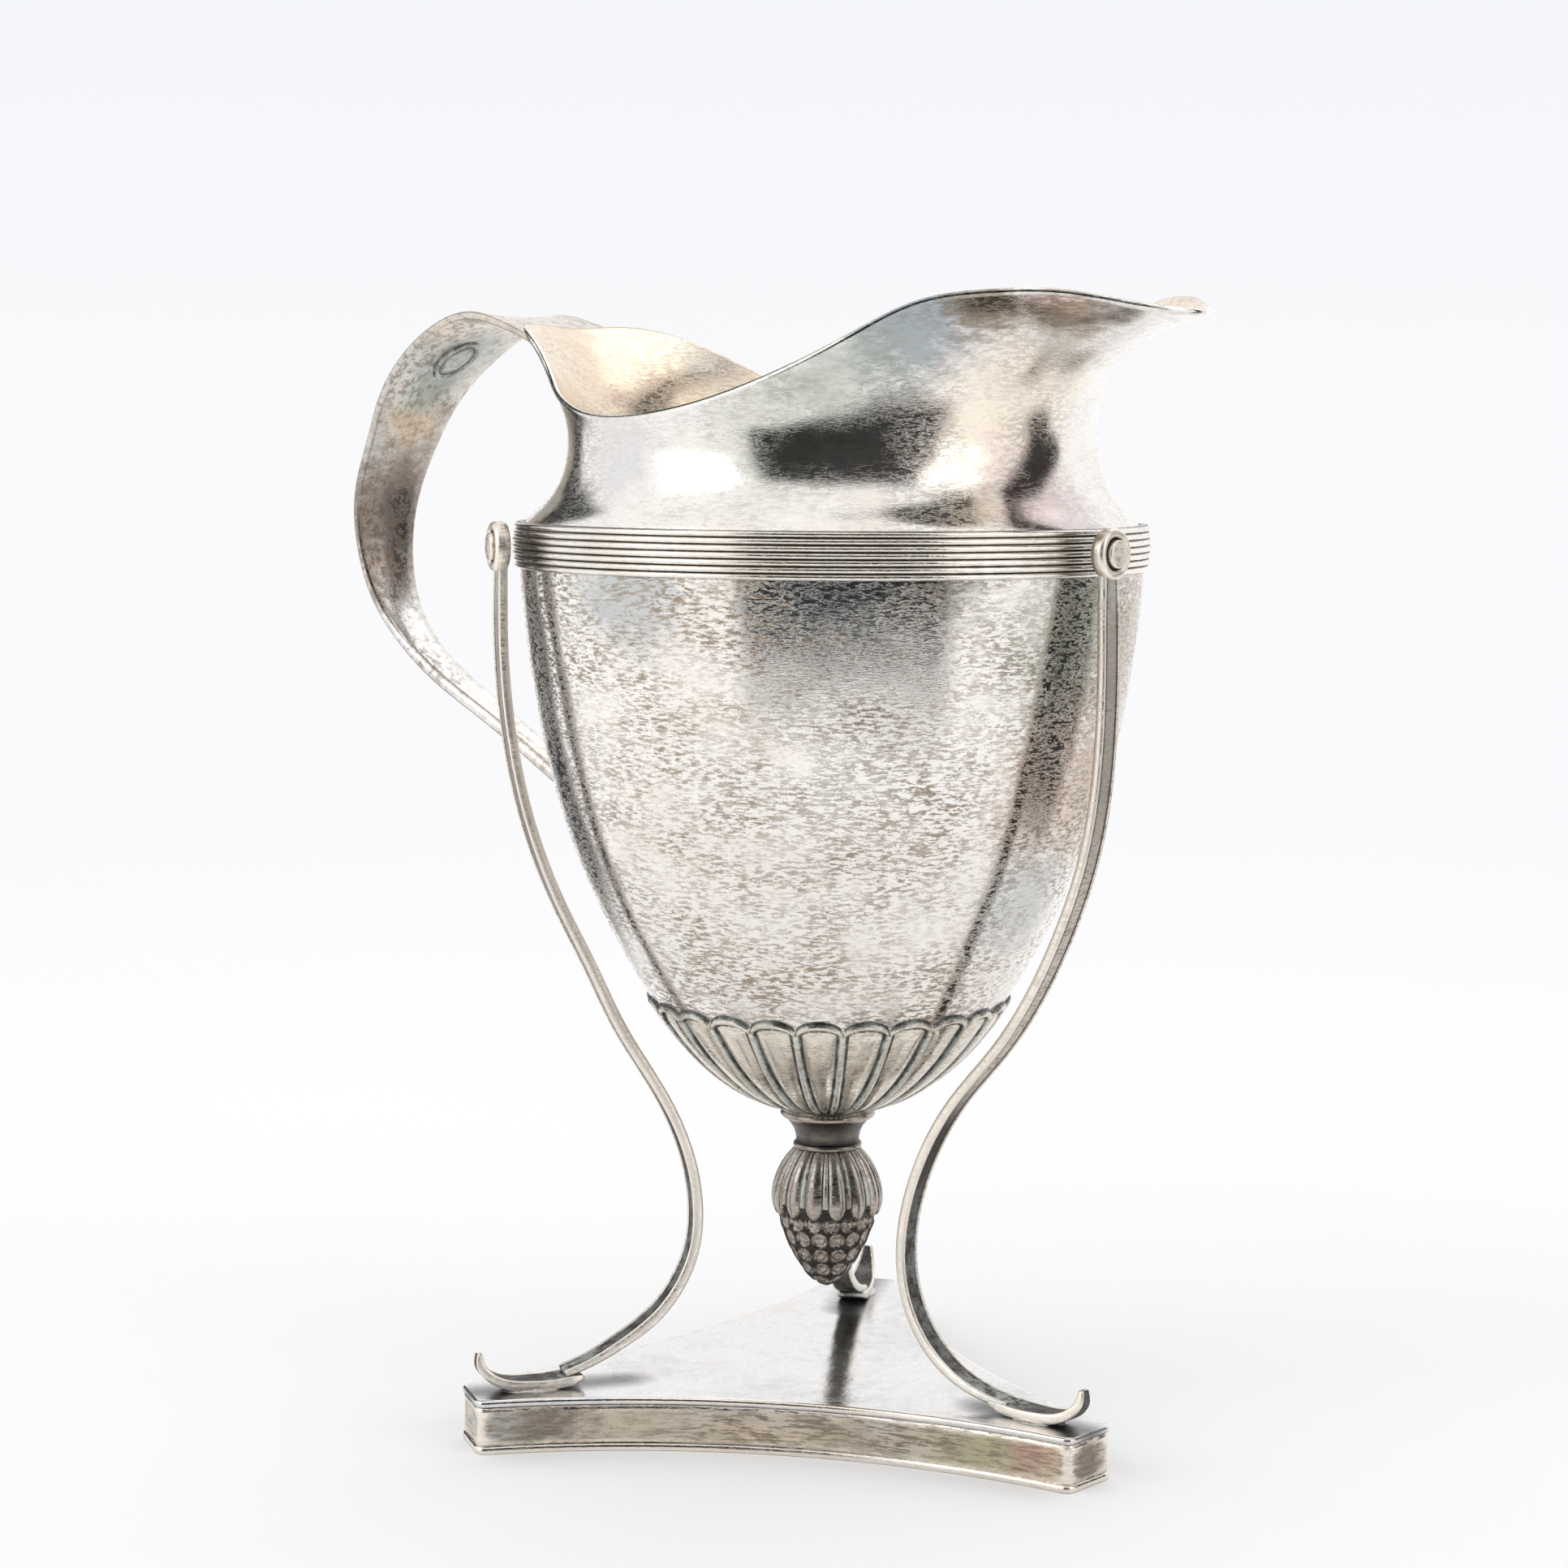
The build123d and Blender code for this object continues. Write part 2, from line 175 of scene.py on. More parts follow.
# ---- materials ----
class Nodes:
    """Small helper that adds shader nodes and links them."""

    def __init__(self, material):
        material.use_nodes = True
        self.tree = material.node_tree
        self.tree.nodes.clear()

    def add(self, kind, **settings):
        node = self.tree.nodes.new(kind)
        for key, value in settings.items():
            setattr(node, key, value)
        return node

    def link(self, a, b):
        self.tree.links.new(a, b)

    def mapped(self, scale):
        """Object coordinates times a scale per millimetre."""
        coords = self.add("ShaderNodeTexCoord")
        mapping = self.add("ShaderNodeMapping")
        mapping.inputs["Scale"].default_value = [s / MM for s in scale]
        self.link(coords.outputs["Object"], mapping.inputs["Vector"])
        return mapping.outputs["Vector"]

    def noise(self, scale, detail, rough=0.55, distortion=0.0):
        node = self.add("ShaderNodeTexNoise")
        node.inputs["Scale"].default_value = 1.0
        node.inputs["Detail"].default_value = detail
        node.inputs["Roughness"].default_value = rough
        node.inputs["Distortion"].default_value = distortion
        self.link(self.mapped(scale), node.inputs["Vector"])
        return node.outputs["Fac"]

    def ramp(self, factor, stops):
        node = self.add("ShaderNodeValToRGB")
        ramp = node.color_ramp
        while len(ramp.elements) < len(stops):
            ramp.elements.new(0.5)
        for element, (position, colour) in zip(ramp.elements, stops):
            element.position = position
            element.color = (*colour, 1)
        self.link(factor, node.inputs["Fac"])
        return node.outputs["Color"]

    def mask(self, factor, low, high):
        """0 at low, 1 at high and straight between."""
        node = self.add("ShaderNodeMapRange")
        node.inputs["From Min"].default_value = low
        node.inputs["From Max"].default_value = high
        self.link(factor, node.inputs["Value"])
        return node.outputs["Result"]

    def patch(self, centre, radius, ragged, strength):
        """1 near a point of the object, fading with a ragged edge."""
        coords = self.add("ShaderNodeTexCoord")
        distance = self.add("ShaderNodeVectorMath", operation="DISTANCE")
        self.link(coords.outputs["Object"], distance.inputs[0])
        distance.inputs[1].default_value = [c * MM for c in centre]
        spread = self.math("DIVIDE", distance.outputs["Value"], radius * MM)
        fray = self.math("MULTIPLY", self.math("SUBTRACT", ragged, 0.5), 2.2)
        spread = self.math("ADD", spread, fray)
        return self.math("MULTIPLY", self.mask(spread, 1.15, 0.45), strength)

    def math(self, operation, a, b=None):
        node = self.add("ShaderNodeMath", operation=operation)
        for socket, value in zip(node.inputs, (a, b)):
            if value is None:
                continue
            if isinstance(value, (int, float)):
                socket.default_value = value
            else:
                self.link(value, socket)
        return node.outputs[0]

    def mix(self, factor, a, b):
        node = self.add("ShaderNodeMix", data_type="RGBA")
        for socket, value in ((node.inputs[0], factor), (node.inputs[6], a), (node.inputs[7], b)):
            if isinstance(value, (int, float)):
                socket.default_value = value
            elif isinstance(value, tuple):
                socket.default_value = (*value, 1)
            else:
                self.link(value, socket)
        return node.outputs[2]


BROWN = (0.27, 0.215, 0.16)
# colour of the painted shade in the recesses, with black tarnish
SHADE_DARK = (0.055, 0.050, 0.046)
CHALK = (0.62, 0.68, 0.64)
# bright cream of the most open edges: wear and painted highlight
RUBBED_AND_HIGHLIGHT = (0.97, 0.89, 0.79)
GRAIN = (0.36, 0.33, 0.29)
FILM_BLUE = (0.36, 0.46, 0.54)
FILM_GREEN = (0.62, 0.66, 0.63)
FILM_GOLD = (0.80, 0.66, 0.47)
FILM_PURPLE = (0.62, 0.50, 0.52)
FILM_TEAL = (0.42, 0.52, 0.55)


def silver(
    name,
    tint,
    speckle,
    stain,
    rough,
    speckle_scale=(0.75, 0.75, 3.0),
    rainbow=0.3,
    stain_colour=BROWN,
    wobble=0.04,
    deposit=0.6,
    dark=SHADE_DARK,
    rub_and_highlight=0.0,
    patches=(),
):
    """Worn, tarnished silver. The mesh's shade value is 0 in its recesses and 1 on its open faces.

    rainbow, stain and speckle are the strengths of the tarnish film, the blotches and the fine flecks.
    A low shade value darkens the colour in the recesses: painted shade, with some black tarnish there.
    On the most open edges, where shade is near 1, the colour turns bright cream by a set strength: wear and
    painted highlight together. A patch is a ragged blotch of colour: (centre in mm, radius in mm, colour,
    strength).
    """
    material = bpy.data.materials.new(name)
    n = Nodes(material)
    broad = n.noise((0.035, 0.035, 0.05), 3, 0.5)
    film = n.ramp(
        n.noise((0.03, 0.03, 0.045), 5, 0.6, 0.6),
        [
            (0.30, FILM_BLUE),
            (0.42, FILM_GREEN),
            (0.50, tint),
            (0.58, FILM_GOLD),
            (0.66, FILM_PURPLE),
            (0.78, FILM_TEAL),
        ],
    )
    colour = n.mix(n.math("MULTIPLY", n.mask(broad, 0.35, 0.75), rainbow), tint, film)
    ragged = n.noise((0.35, 0.35, 0.9), 6, 0.75)
    for centre, radius, patch_colour, strength in patches:
        colour = n.mix(n.patch(centre, radius, ragged, strength), colour, patch_colour)
    blotch = n.mask(n.noise((0.09, 0.09, 0.11), 6, 0.65), 0.50, 0.72)
    colour = n.mix(n.math("MULTIPLY", blotch, stain), colour, stain_colour)
    fine = n.noise(speckle_scale, 5, 0.72)
    patchy = n.mask(n.noise((0.07, 0.07, 0.11), 5, 0.7), 0.33, 0.60)
    specks = n.math("MULTIPLY", n.mask(fine, 0.50, 0.56), n.math("MULTIPLY", patchy, speckle))
    colour = n.mix(specks, colour, stain_colour)
    grain = n.noise((1.6, 1.6, 8.0), 3, 0.7)
    colour = n.mix(n.math("MULTIPLY", n.mask(grain, 0.42, 0.70), 0.22), colour, GRAIN)
    # Painted shade, with some black tarnish: a low shade value darkens the colour in the recesses and on
    # faces in shade.
    shade = n.add("ShaderNodeAttribute", attribute_name="shade").outputs["Fac"]
    recess_shade = n.mask(shade, 0.62, 0.18)
    # Painted highlight and wear: where shade is near 1, on the most open edges, the colour turns bright
    # cream with a ragged border.
    frayed_shade = n.math("ADD", shade, n.math("MULTIPLY", ragged, 0.10))
    rub_and_highlight_mask = n.math("MULTIPLY", n.mask(frayed_shade, 0.985, 1.03), rub_and_highlight)
    colour = n.mix(rub_and_highlight_mask, colour, RUBBED_AND_HIGHLIGHT)
    chalk = n.add("ShaderNodeAttribute", attribute_name="chalk").outputs["Fac"]
    crumbs = n.mask(n.noise((0.55, 0.55, 0.55), 5, 0.7), 0.42, 0.58)
    pale = n.math("MULTIPLY", n.math("MULTIPLY", crumbs, chalk), deposit)
    # painted shade: the recesses darken towards the shade colour
    colour = n.mix(recess_shade, colour, dark)
    colour = n.mix(pale, colour, CHALK)
    shader = n.add("ShaderNodeBsdfPrincipled")
    n.link(colour, shader.inputs["Base Color"])
    n.link(n.math("SUBTRACT", 1.0, n.math("MULTIPLY", pale, 0.9)), shader.inputs["Metallic"])
    gloss = n.math("ADD", rough, n.math("MULTIPLY", specks, 0.30))
    gloss = n.math("ADD", gloss, n.math("MULTIPLY", n.mask(broad, 0.3, 0.8), 0.06))
    gloss = n.math("ADD", gloss, n.math("MULTIPLY", recess_shade, 0.25))
    n.link(gloss, shader.inputs["Roughness"])
    dents = n.noise((0.05, 0.05, 0.05), 2, 0.5)
    scratch = n.noise((1.5, 1.5, 9.0), 2, 0.6)
    height = n.math("ADD", n.math("MULTIPLY", dents, wobble * 20), n.math("MULTIPLY", scratch, 0.012))
    height = n.math("ADD", height, n.math("MULTIPLY", specks, -0.02))
    height = n.math("ADD", height, n.math("MULTIPLY", pale, 0.05))
    bump = n.add("ShaderNodeBump")
    bump.inputs["Strength"].default_value = 1.0
    bump.inputs["Distance"].default_value = MM
    n.link(height, bump.inputs["Height"])
    n.link(bump.outputs["Normal"], shader.inputs["Normal"])
    out = n.add("ShaderNodeOutputMaterial")
    n.link(shader.outputs[0], out.inputs["Surface"])
    return material


def around(radius, degrees, z):
    """A point in mm on a circle about Z."""
    a = math.radians(degrees)
    return (radius * math.cos(a), radius * math.sin(a), z)


BLUE_GREY = (0.24, 0.31, 0.36)
VIOLET = (0.56, 0.42, 0.44)
OLIVE = (0.42, 0.42, 0.25)
BURNT = (0.30, 0.23, 0.15)

body_metal = silver(
    "silver_worn_body", tint=(0.95, 0.91, 0.86), speckle=0.9, rainbow=0.22, stain=0.10,
    stain_colour=(0.32, 0.24, 0.16), rough=0.05, wobble=0.02,
    patches=[
        # The first three patches are painted reflection: blue-grey and dark where the top of the body faces
        # the camera.
        (around(39, -88, 108), 9, BLUE_GREY, 0.5),
        (around(39, -50, 110), 10, BLUE_GREY, 0.55),
        (around(39, -30, 112), 8, (0.20, 0.19, 0.18), 0.6),
        (around(39, 3, 103), 13, (0.36, 0.42, 0.34), 0.7),
        (around(36, 3, 84), 12, (0.60, 0.40, 0.30), 0.55),
        (around(30, 2, 70), 9, (0.38, 0.44, 0.46), 0.5),
        (around(39, 24, 100), 15, (0.46, 0.38, 0.31), 0.8),
        (around(36, 20, 84), 11, (0.50, 0.42, 0.34), 0.7),
    ],
)
neck_metal = silver(
    "silver_neck", tint=(0.93, 0.90, 0.86), speckle=0.30, rainbow=0.45, stain=0.12,
    rough=0.08, wobble=0.05,
    patches=[
        (around(34, -13, 128), 13, (0.97, 0.84, 0.68), 0.7),
        (around(36, -6, 118), 9, VIOLET, 0.6),
        (around(37, -36, 139.5), 10, BLUE_GREY, 0.75),
        (around(35, -48, 133), 9, (0.40, 0.45, 0.38), 0.5),
        (around(40, -24, 141), 5, BURNT, 0.8),
        (around(45, -13, 141), 5, BURNT, 0.8),
        (around(34, -62, 126), 9, (0.42, 0.46, 0.38), 0.4),
        (around(34, -100, 124), 8, (0.62, 0.62, 0.64), 0.5),
    ],
)
gilt_metal = silver(
    "silver_neck_inside", tint=(0.90, 0.76, 0.58), speckle=0.35, rainbow=0.35, stain=0.35,
    stain_colour=(0.42, 0.24, 0.20), rough=0.16, wobble=0.05,
    patches=[
        (around(38, 155, 137), 7, (0.80, 0.76, 0.66), 0.7),
        (around(34, 118, 129), 7, (0.97, 0.84, 0.66), 0.6),
        (around(34, 105, 127), 5, (0.52, 0.36, 0.42), 0.7),
    ],
)
strap_metal = silver(
    "silver_strap", tint=(0.84, 0.77, 0.69), speckle=0.6, rainbow=0.4, stain=0.35,
    rough=0.30, wobble=0.03, dark=(0.09, 0.08, 0.075), deposit=0.8, rub_and_highlight=0.85,
)
handle_metal = silver(
    "silver_handle", tint=(0.70, 0.65, 0.58), speckle=0.6, speckle_scale=(0.9, 0.9, 0.9),
    rainbow=0.7, stain=0.5, stain_colour=(0.20, 0.145, 0.11), rough=0.20,
    dark=(0.09, 0.08, 0.075),
    patches=[
        ((-76, 0, 127), 5, (0.70, 0.50, 0.32), 0.8),
        ((-73, 0, 131), 5, (0.40, 0.50, 0.44), 0.8),
        ((-68, 0, 138), 8, (0.30, 0.36, 0.36), 0.7),
        ((-83, 0, 116), 11, (0.20, 0.145, 0.12), 0.75),
        ((-82, 0, 105), 5, (0.42, 0.28, 0.22), 0.6),
        ((-80, 0, 98), 8, (0.88, 0.85, 0.82), 0.7),
        ((-74, 0, 90), 14, (0.92, 0.89, 0.86), 0.95),
        ((-62, 0, 80), 15, (0.90, 0.87, 0.83), 0.85),
    ],
)
cast_metal = silver(
    "silver_cast", tint=(0.90, 0.86, 0.80), speckle=0.3, rainbow=0.35, stain=0.3,
    rough=0.10, wobble=0.02,
    deposit=1.0, rub_and_highlight=0.5,
)
finial_metal = silver(
    "silver_finial", tint=(0.44, 0.38, 0.33), speckle=0.4, stain=0.5,
    stain_colour=(0.10, 0.08, 0.07), rough=0.14, deposit=0.75,
)
wall_metal = silver(
    "silver_base_wall", tint=(0.60, 0.53, 0.43), speckle=0.95, speckle_scale=(0.35, 0.35, 2.6),
    rainbow=0.6, stain=0.6, rough=0.16, wobble=0.03, rub_and_highlight=0.9,
    patches=[
        (around(38, -92, 3), 11, OLIVE, 0.6),
        (around(41, -110, 3), 8, (0.17, 0.14, 0.12), 0.75),
        (around(37, -20, 3), 9, (0.50, 0.52, 0.28), 0.8),
        (around(39, -12, 4), 4, (0.62, 0.34, 0.30), 0.8),
        (around(44, -3, 3), 3.5, (0.16, 0.14, 0.13), 0.8),
        (around(44, -118, 3), 4, (0.50, 0.54, 0.54), 0.6),
    ],
)
calyx_metal = silver(
    "silver_calyx", tint=(0.80, 0.74, 0.64), speckle=0.55, stain=0.55,
    stain_colour=(0.30, 0.25, 0.19), rough=0.12, wobble=0.02, dark=(0.07, 0.075, 0.075), rub_and_highlight=0.3,
)
top_metal = silver(
    "silver_base_top", tint=(0.81, 0.80, 0.80), speckle=0.2, speckle_scale=(0.5, 0.5, 0.5),
    rainbow=0.35, stain=0.25, stain_colour=(0.36, 0.35, 0.36), rough=0.12, wobble=0.02,
    dark=(0.10, 0.10, 0.11), rub_and_highlight=0.9,
)

# ---- body ----
joint_z = box_mm("body")[1][2]
SHEET = 0.8
BODY_ROWS = 130
ROUND_STEPS = 256
body_points = [
    (0, 40.6), (4.5, 40.9), (8.6, 41.9), (13.5, 44.6), (17.8, 48.4), (22.4, 54.4), (26.85, 62), (31.6, 72),
    (35.4, 84), (38.0, 98), (39.15, 108.5), (39.25, joint_z),
]
body_profile = spline(body_points, BODY_ROWS, start=(1, 0), end=(0, 1))


def wall_profile(outer, thickness):
    """Profile of a sheet: the outer line up, then the inner line down."""
    tangent = unit(np.gradient(outer, axis=0))
    normal = np.stack([tangent[:, 1], -tangent[:, 0]], axis=1)
    inner = outer - normal * thickness
    inner[:, 0] = np.maximum(inner[:, 0], 0)
    return np.vstack([outer, inner[::-1]])


make_lathe(
    "body_shell", wall_profile(body_profile, SHEET), body_metal, ROUND_STEPS,
    replaces=("body",), slot="silver_body",
)

# ---- neck: a sheet with a wavy rim ----
# degrees from the spout, rim radius, rim height, lean of the sheet at the rim from upright
rim_table = [
    (0, 55.0, 139.9, 80),
    (8, 52.0, 140.6, 76),
    (16, 47.4, 141.95, 68),
    (25, 42.2, 142.05, 58),
    (35, 38.9, 140.9, 44),
    (47, 37.2, 137.0, 33),
    (60, 35.6, 133.0, 24),
    (75, 34.6, 129.8, 17),
    (99, 33.9, 127.8, 12),
    (125, 34.0, 129.4, 18),
    (135, 34.8, 130.9, 25),
    (147, 36.8, 133.9, 36),
    (156, 40.3, 137.1, 48),
    (164, 44.4, 139.3, 58),
    (170, 46.0, 139.7, 63),
    (180, 46.0, 139.3, 66),
]
NECK_STEPS = 360
NECK_ROWS = 70
WAIST = np.array([33.3, 125.0])
FOOT_PULL = 0.42    # how stiffly the neck rises from its waist
RIM_PULL = 0.36     # and how stiffly it reaches the rim
neck_foot = [(38.9, joint_z), (38.8, 114.3), (36.7, 117.1), (34.4, 120.3), tuple(WAIST)]


def neck_row(angle, rim_r, rim_z, lean):
    """Points of the sheet from the joint to the rim, in the upright plane at one angle."""
    top = np.array([rim_r, rim_z])
    lean = math.radians(lean)
    reach = np.linalg.norm(top - WAIST)
    c1 = WAIST + np.array([0, FOOT_PULL * (rim_z - WAIST[1])])
    c2 = top - RIM_PULL * reach * np.array([math.sin(lean), math.cos(lean)])
    middle = []
    for t in (0.3, 0.62, 0.85):
        u = 1 - t
        middle.append(tuple(u**3 * WAIST + 3 * u**2 * t * c1 + 3 * u * t * t * c2 + t**3 * top))
    line = spline(neck_foot + middle + [tuple(top)], NECK_ROWS)
    a = math.radians(angle)
    return np.stack([line[:, 0] * math.cos(a), line[:, 0] * math.sin(a), line[:, 1]], axis=1)


def shell_verts(grid, thickness):
    """Outer grid, one rounded rim loop, then the inner grid from the rim down."""
    normal = grid_normals(grid)
    inner = grid - normal * thickness
    rise = unit(grid[:, -1] - grid[:, -2]) * thickness * 0.45
    lip = (grid[:, -1] + inner[:, -1]) / 2 + rise
    return np.concatenate([grid, lip[:, None], inner[:, ::-1]], axis=1)


angles = np.linspace(0, 360, NECK_STEPS, endpoint=False)
rim = round_table(rim_table, angles)
neck_grid = np.array([neck_row(angle, *row) for angle, row in zip(angles, rim)])
neck_all = shell_verts(neck_grid, SHEET)
row_count = neck_all.shape[1]
neck = make(
    "neck_shell", neck_all.reshape(-1, 3), grid_faces(NECK_STEPS, row_count), neck_metal,
    replaces=("neck",), slot="silver_neck",
)
neck.data.materials.append(gilt_metal)
for index, polygon in enumerate(neck.data.polygons):
    if index % (row_count - 1) > NECK_ROWS:
        polygon.material_index = 1

# ---- reeded band ----
band_low, band_high = box_mm("reeded_band")
REEDS = 7
reed_step = (band_high[2] - band_low[2]) / REEDS
REED_ROUND = 0.36
BAND_INSIDE = 38.6
BAND_EDGE = 39.3
band_profile = [(BAND_INSIDE, band_low[2]), (BAND_EDGE, band_low[2])]
band_shade = [0.3, 0.4]
for reed in range(REEDS):
    middle = band_low[2] + (reed + 0.5) * reed_step
    crown = 39.45 + 0.38 * math.sin(math.pi * (reed + 0.5) / REEDS)
    for a in np.radians(np.linspace(-80, 80, 9)):
        band_profile.append((crown + REED_ROUND * math.cos(a), middle + 0.43 * reed_step * math.sin(a)))
        band_shade.append(0.1 + 0.9 * max(0, math.cos(a)) ** 0.6)
    band_profile.append((crown - 0.12, middle + 0.5 * reed_step))
    band_shade.append(0.0)
band_profile += [(BAND_EDGE, band_high[2]), (BAND_INSIDE, band_high[2])]
band_shade += [0.4, 0.3]
make_lathe(
    "band_reeds", band_profile, cast_metal, ROUND_STEPS, band_shade,
    replaces=("reeded_band",), slot="silver_cast",
)

# ---- calyx of lobes ----
LOBES = 24
LOBE_STEPS = 26
CALYX_ROWS = 110
CALYX_TOP = 55.6        # height at which the lobes begin on the body
CALYX_HOLE = 5.0        # radius at which they end under the collar
TIP_START = 0.7
TIP_DEPTH = 1.9
RIB_HALF = 0.46         # half width of the raised border of a lobe
RIB_RISE = 0.55
LOBE_RISE = 0.42
GROOVE = 0.22           # width of the dark line of painted shade inside the border
under_band = body_profile[:, 1] < CALYX_TOP
calyx_line = body_profile[under_band & (body_profile[:, 0] > CALYX_HOLE)][::-1]
calyx_end = tuple(calyx_line[-1] + np.array([-0.001, -0.001]))
calyx_line = spline([tuple(p) for p in calyx_line[::4]] + [calyx_end], CALYX_ROWS)
along = np.concatenate([[0], np.cumsum(np.linalg.norm(np.diff(calyx_line, axis=0), axis=1))])
line_tangent = unit(np.gradient(calyx_line, axis=0))
line_normal = np.stack([-line_tangent[:, 1], line_tangent[:, 0]], axis=1)


def lobe_surface(phase, r, s):
    """Height above the body, shade and chalk at a phase of -0.5 to 0.5 across a lobe, s mm from its top."""
    pitch = 2 * math.pi * r / LOBES
    half = 0.5 * pitch
    x = abs(phase) * pitch
    rib = min(RIB_HALF, 0.13 * pitch + 0.10)
    tip = TIP_START + TIP_DEPTH * (1 - math.sqrt(max(0.0, 1 - (x / half) ** 2)))
    edge = half - x
    if s < TIP_START + TIP_DEPTH + 1.5:
        edge = min(edge, (s - tip) * 0.85)
    if edge <= -rib - 0.25:
        return -0.06, 0.9, 0.1
    if edge < -rib:
        return -0.06, 0.05, 0.25
    if edge < rib:
        crest = math.sqrt(max(0.0, 1 - (edge / rib) ** 2))
        return 0.08 + RIB_RISE * crest, 0.05 + 0.95 * crest**2.5, 0.9 if s > 2.0 else 0.45
    inside = edge - rib
    across = min(1.0, inside / max(0.25, half - rib))
    height = 0.06 + LOBE_RISE * math.sin(0.5 * math.pi * min(1.0, across * 1.25))
    tone = 0.0 if inside < GROOVE else 0.25 + 0.75 * min(1.0, inside / 0.8)
    return height, tone, 0.10 + 0.25 * max(0.0, (s - 12) / 8)


verts, tones, dust = [], [], []
for step in range(LOBES * LOBE_STEPS):
    phase = (step / LOBE_STEPS) % 1.0 - 0.5
    angle = 2 * math.pi * step / (LOBES * LOBE_STEPS)
    for (r, z), (nr, nz), s in zip(calyx_line, line_normal, along):
        height, tone, chalky = lobe_surface(phase, r, s)
        out = r + nr * height
        verts.append((out * math.cos(angle), out * math.sin(angle), z + nz * height))
        tones.append(tone)
        dust.append(chalky)
make(
    "calyx_lobes", verts, grid_faces(LOBES * LOBE_STEPS, len(calyx_line)), calyx_metal, tones, dust,
    replaces=("calyx",), slot="silver_cast",
)

# ---- collar ----
COLLAR_STEPS = 96
collar_profile = np.vstack([
    [(3.0, 41.6), (6.4, 41.2)],
    arc(5.55, 39.75, 0.55, 60, -90, 8),
    spline([(5.2, 38.9), (4.4, 37.8), (4.06, 36.6), (4.0, 36.0)], 14),
    arc(3.95, 35.6, 0.45, 60, -70, 7),
    [(3.2, 35.2)],
])
shade_heights = [35.2, 35.6, 36.0, 37.0, 38.9, 39.6, 41]
collar_shade = np.interp(collar_profile[:, 1], shade_heights, [0.3, 0.6, 0.15, 0.32, 0.22, 0.75, 0.1])
make_lathe(
    "collar_ring", collar_profile, finial_metal, COLLAR_STEPS, collar_shade,
    replaces=("collar", "finial_pin"), slot="silver_cast",
)

# ---- finial: leaves ----
LEAVES = 14
LEAF_STEPS = 16
LEAF_ROWS = 56
LEAF_HALF = 0.42        # half width of a leaf, in leaf spacings
LEAF_ROUND = 0.74       # where the rounding of its tip begins
LEAF_END = 0.95
leaf_points = [(3.7, 35.6), (5.2, 33.9), (6.45, 31.5), (6.95, 29.2), (6.75, 27.4), (6.3, 26.4)]
leaf_line = spline(leaf_points, LEAF_ROWS)


def leaf_surface(phase, v):
    """Height, shade and chalk at a phase of -0.5 to 0.5 across a leaf and v of its length."""
    x = abs(phase)
    half = LEAF_HALF
    if v >= LEAF_ROUND:
        half *= math.sqrt(max(0.0, 1 - ((v - LEAF_ROUND) / (LEAF_END - LEAF_ROUND)) ** 2))
    if x > half and v < 0.8:
        return 0.05, 0.8, 0.9
    if x > half:
        return -0.45, 0.05, 0.2
    k = x / max(half, 1e-3)
    inside = 1 - k**2
    return -0.25 + 0.45 * inside, 0.10 if k > 0.86 else 0.40 + 0.60 * inside, 0.15


verts, tones, dust = [], [], []
for step in range(LEAVES * LEAF_STEPS):
    phase = (step / LEAF_STEPS) % 1.0 - 0.5
    angle = 2 * math.pi * (step / LEAF_STEPS) / LEAVES
    for row, (r, z) in enumerate(leaf_line):
        height, tone, chalky = leaf_surface(phase, row / (LEAF_ROWS - 1))
        verts.append(((r + height) * math.cos(angle), (r + height) * math.sin(angle), z))
        tones.append(tone)
        dust.append(chalky)
make(
    "finial_leaf_ring", verts, grid_faces(LEAVES * LEAF_STEPS, LEAF_ROWS), finial_metal, tones, dust,
    replaces=("finial_leaves",), slot="silver_cast",
)

# ---- finial: berry ----
BERRY_STEPS = 240
BERRY_ROWS = 60
BERRY_SIZE = 1.15
BERRY_FLOOR = -0.25     # the skin between the berries lies this far in
berry_points = [(6.2, 28.4), (6.1, 26.9), (5.1, 23.4), (3.4, 20.2), (1.6, 18.0), (0.0, 17.2)]
berry_line = spline(berry_points, BERRY_ROWS)
# height, berries in the ring, and the ring's turn in berry spacings
berry_rings = [(26.2, 16, 0), (24.1, 15, 0.5), (21.9, 12, 0), (19.9, 9, 0.5), (18.1, 5, 0)]
grid = lathe(berry_line, BERRY_STEPS)
skin = grid.reshape(-1, 3)
height = np.full(len(skin), BERRY_FLOOR)
tone = np.full(len(skin), 0.0)
for z, count, shift in berry_rings:
    r = float(np.interp(z, berry_line[::-1, 1], berry_line[::-1, 0]))
    size = min(BERRY_SIZE, math.pi * r / count * 0.95)
    for k in range(count):
        a = 2 * math.pi * (k + shift) / count
        away = np.linalg.norm(skin - np.array([r * math.cos(a), r * math.sin(a), z]), axis=1)
        ring = np.exp(-(((away / size) - 0.80) / 0.16) ** 2)
        dome = np.sqrt(np.clip(1 - (away / (0.62 * size)) ** 2, 0, 1))
        lift = BERRY_FLOOR + 0.62 * ring + 0.52 * dome
        better = (away < size * 1.05) & (lift > height)
        height[better] = lift[better]
        tone[better] = (0.15 + 0.85 * np.maximum(ring, dome))[better]
make(
    "finial_berries", skin + grid_normals(grid).reshape(-1, 3) * height[:, None],
    grid_faces(BERRY_STEPS, BERRY_ROWS), finial_metal, tone,
    replaces=("finial_berry",), slot="silver_cast",
)

# ---- straps: a section swept along a curve in an upright plane ----
BASE_TOP = box_mm("base_plate")[1][2]
BASE_OFFSET = (-1.55, -1.6)     # the base stands a little off the axis of the body
LEG_TOP = 112.3


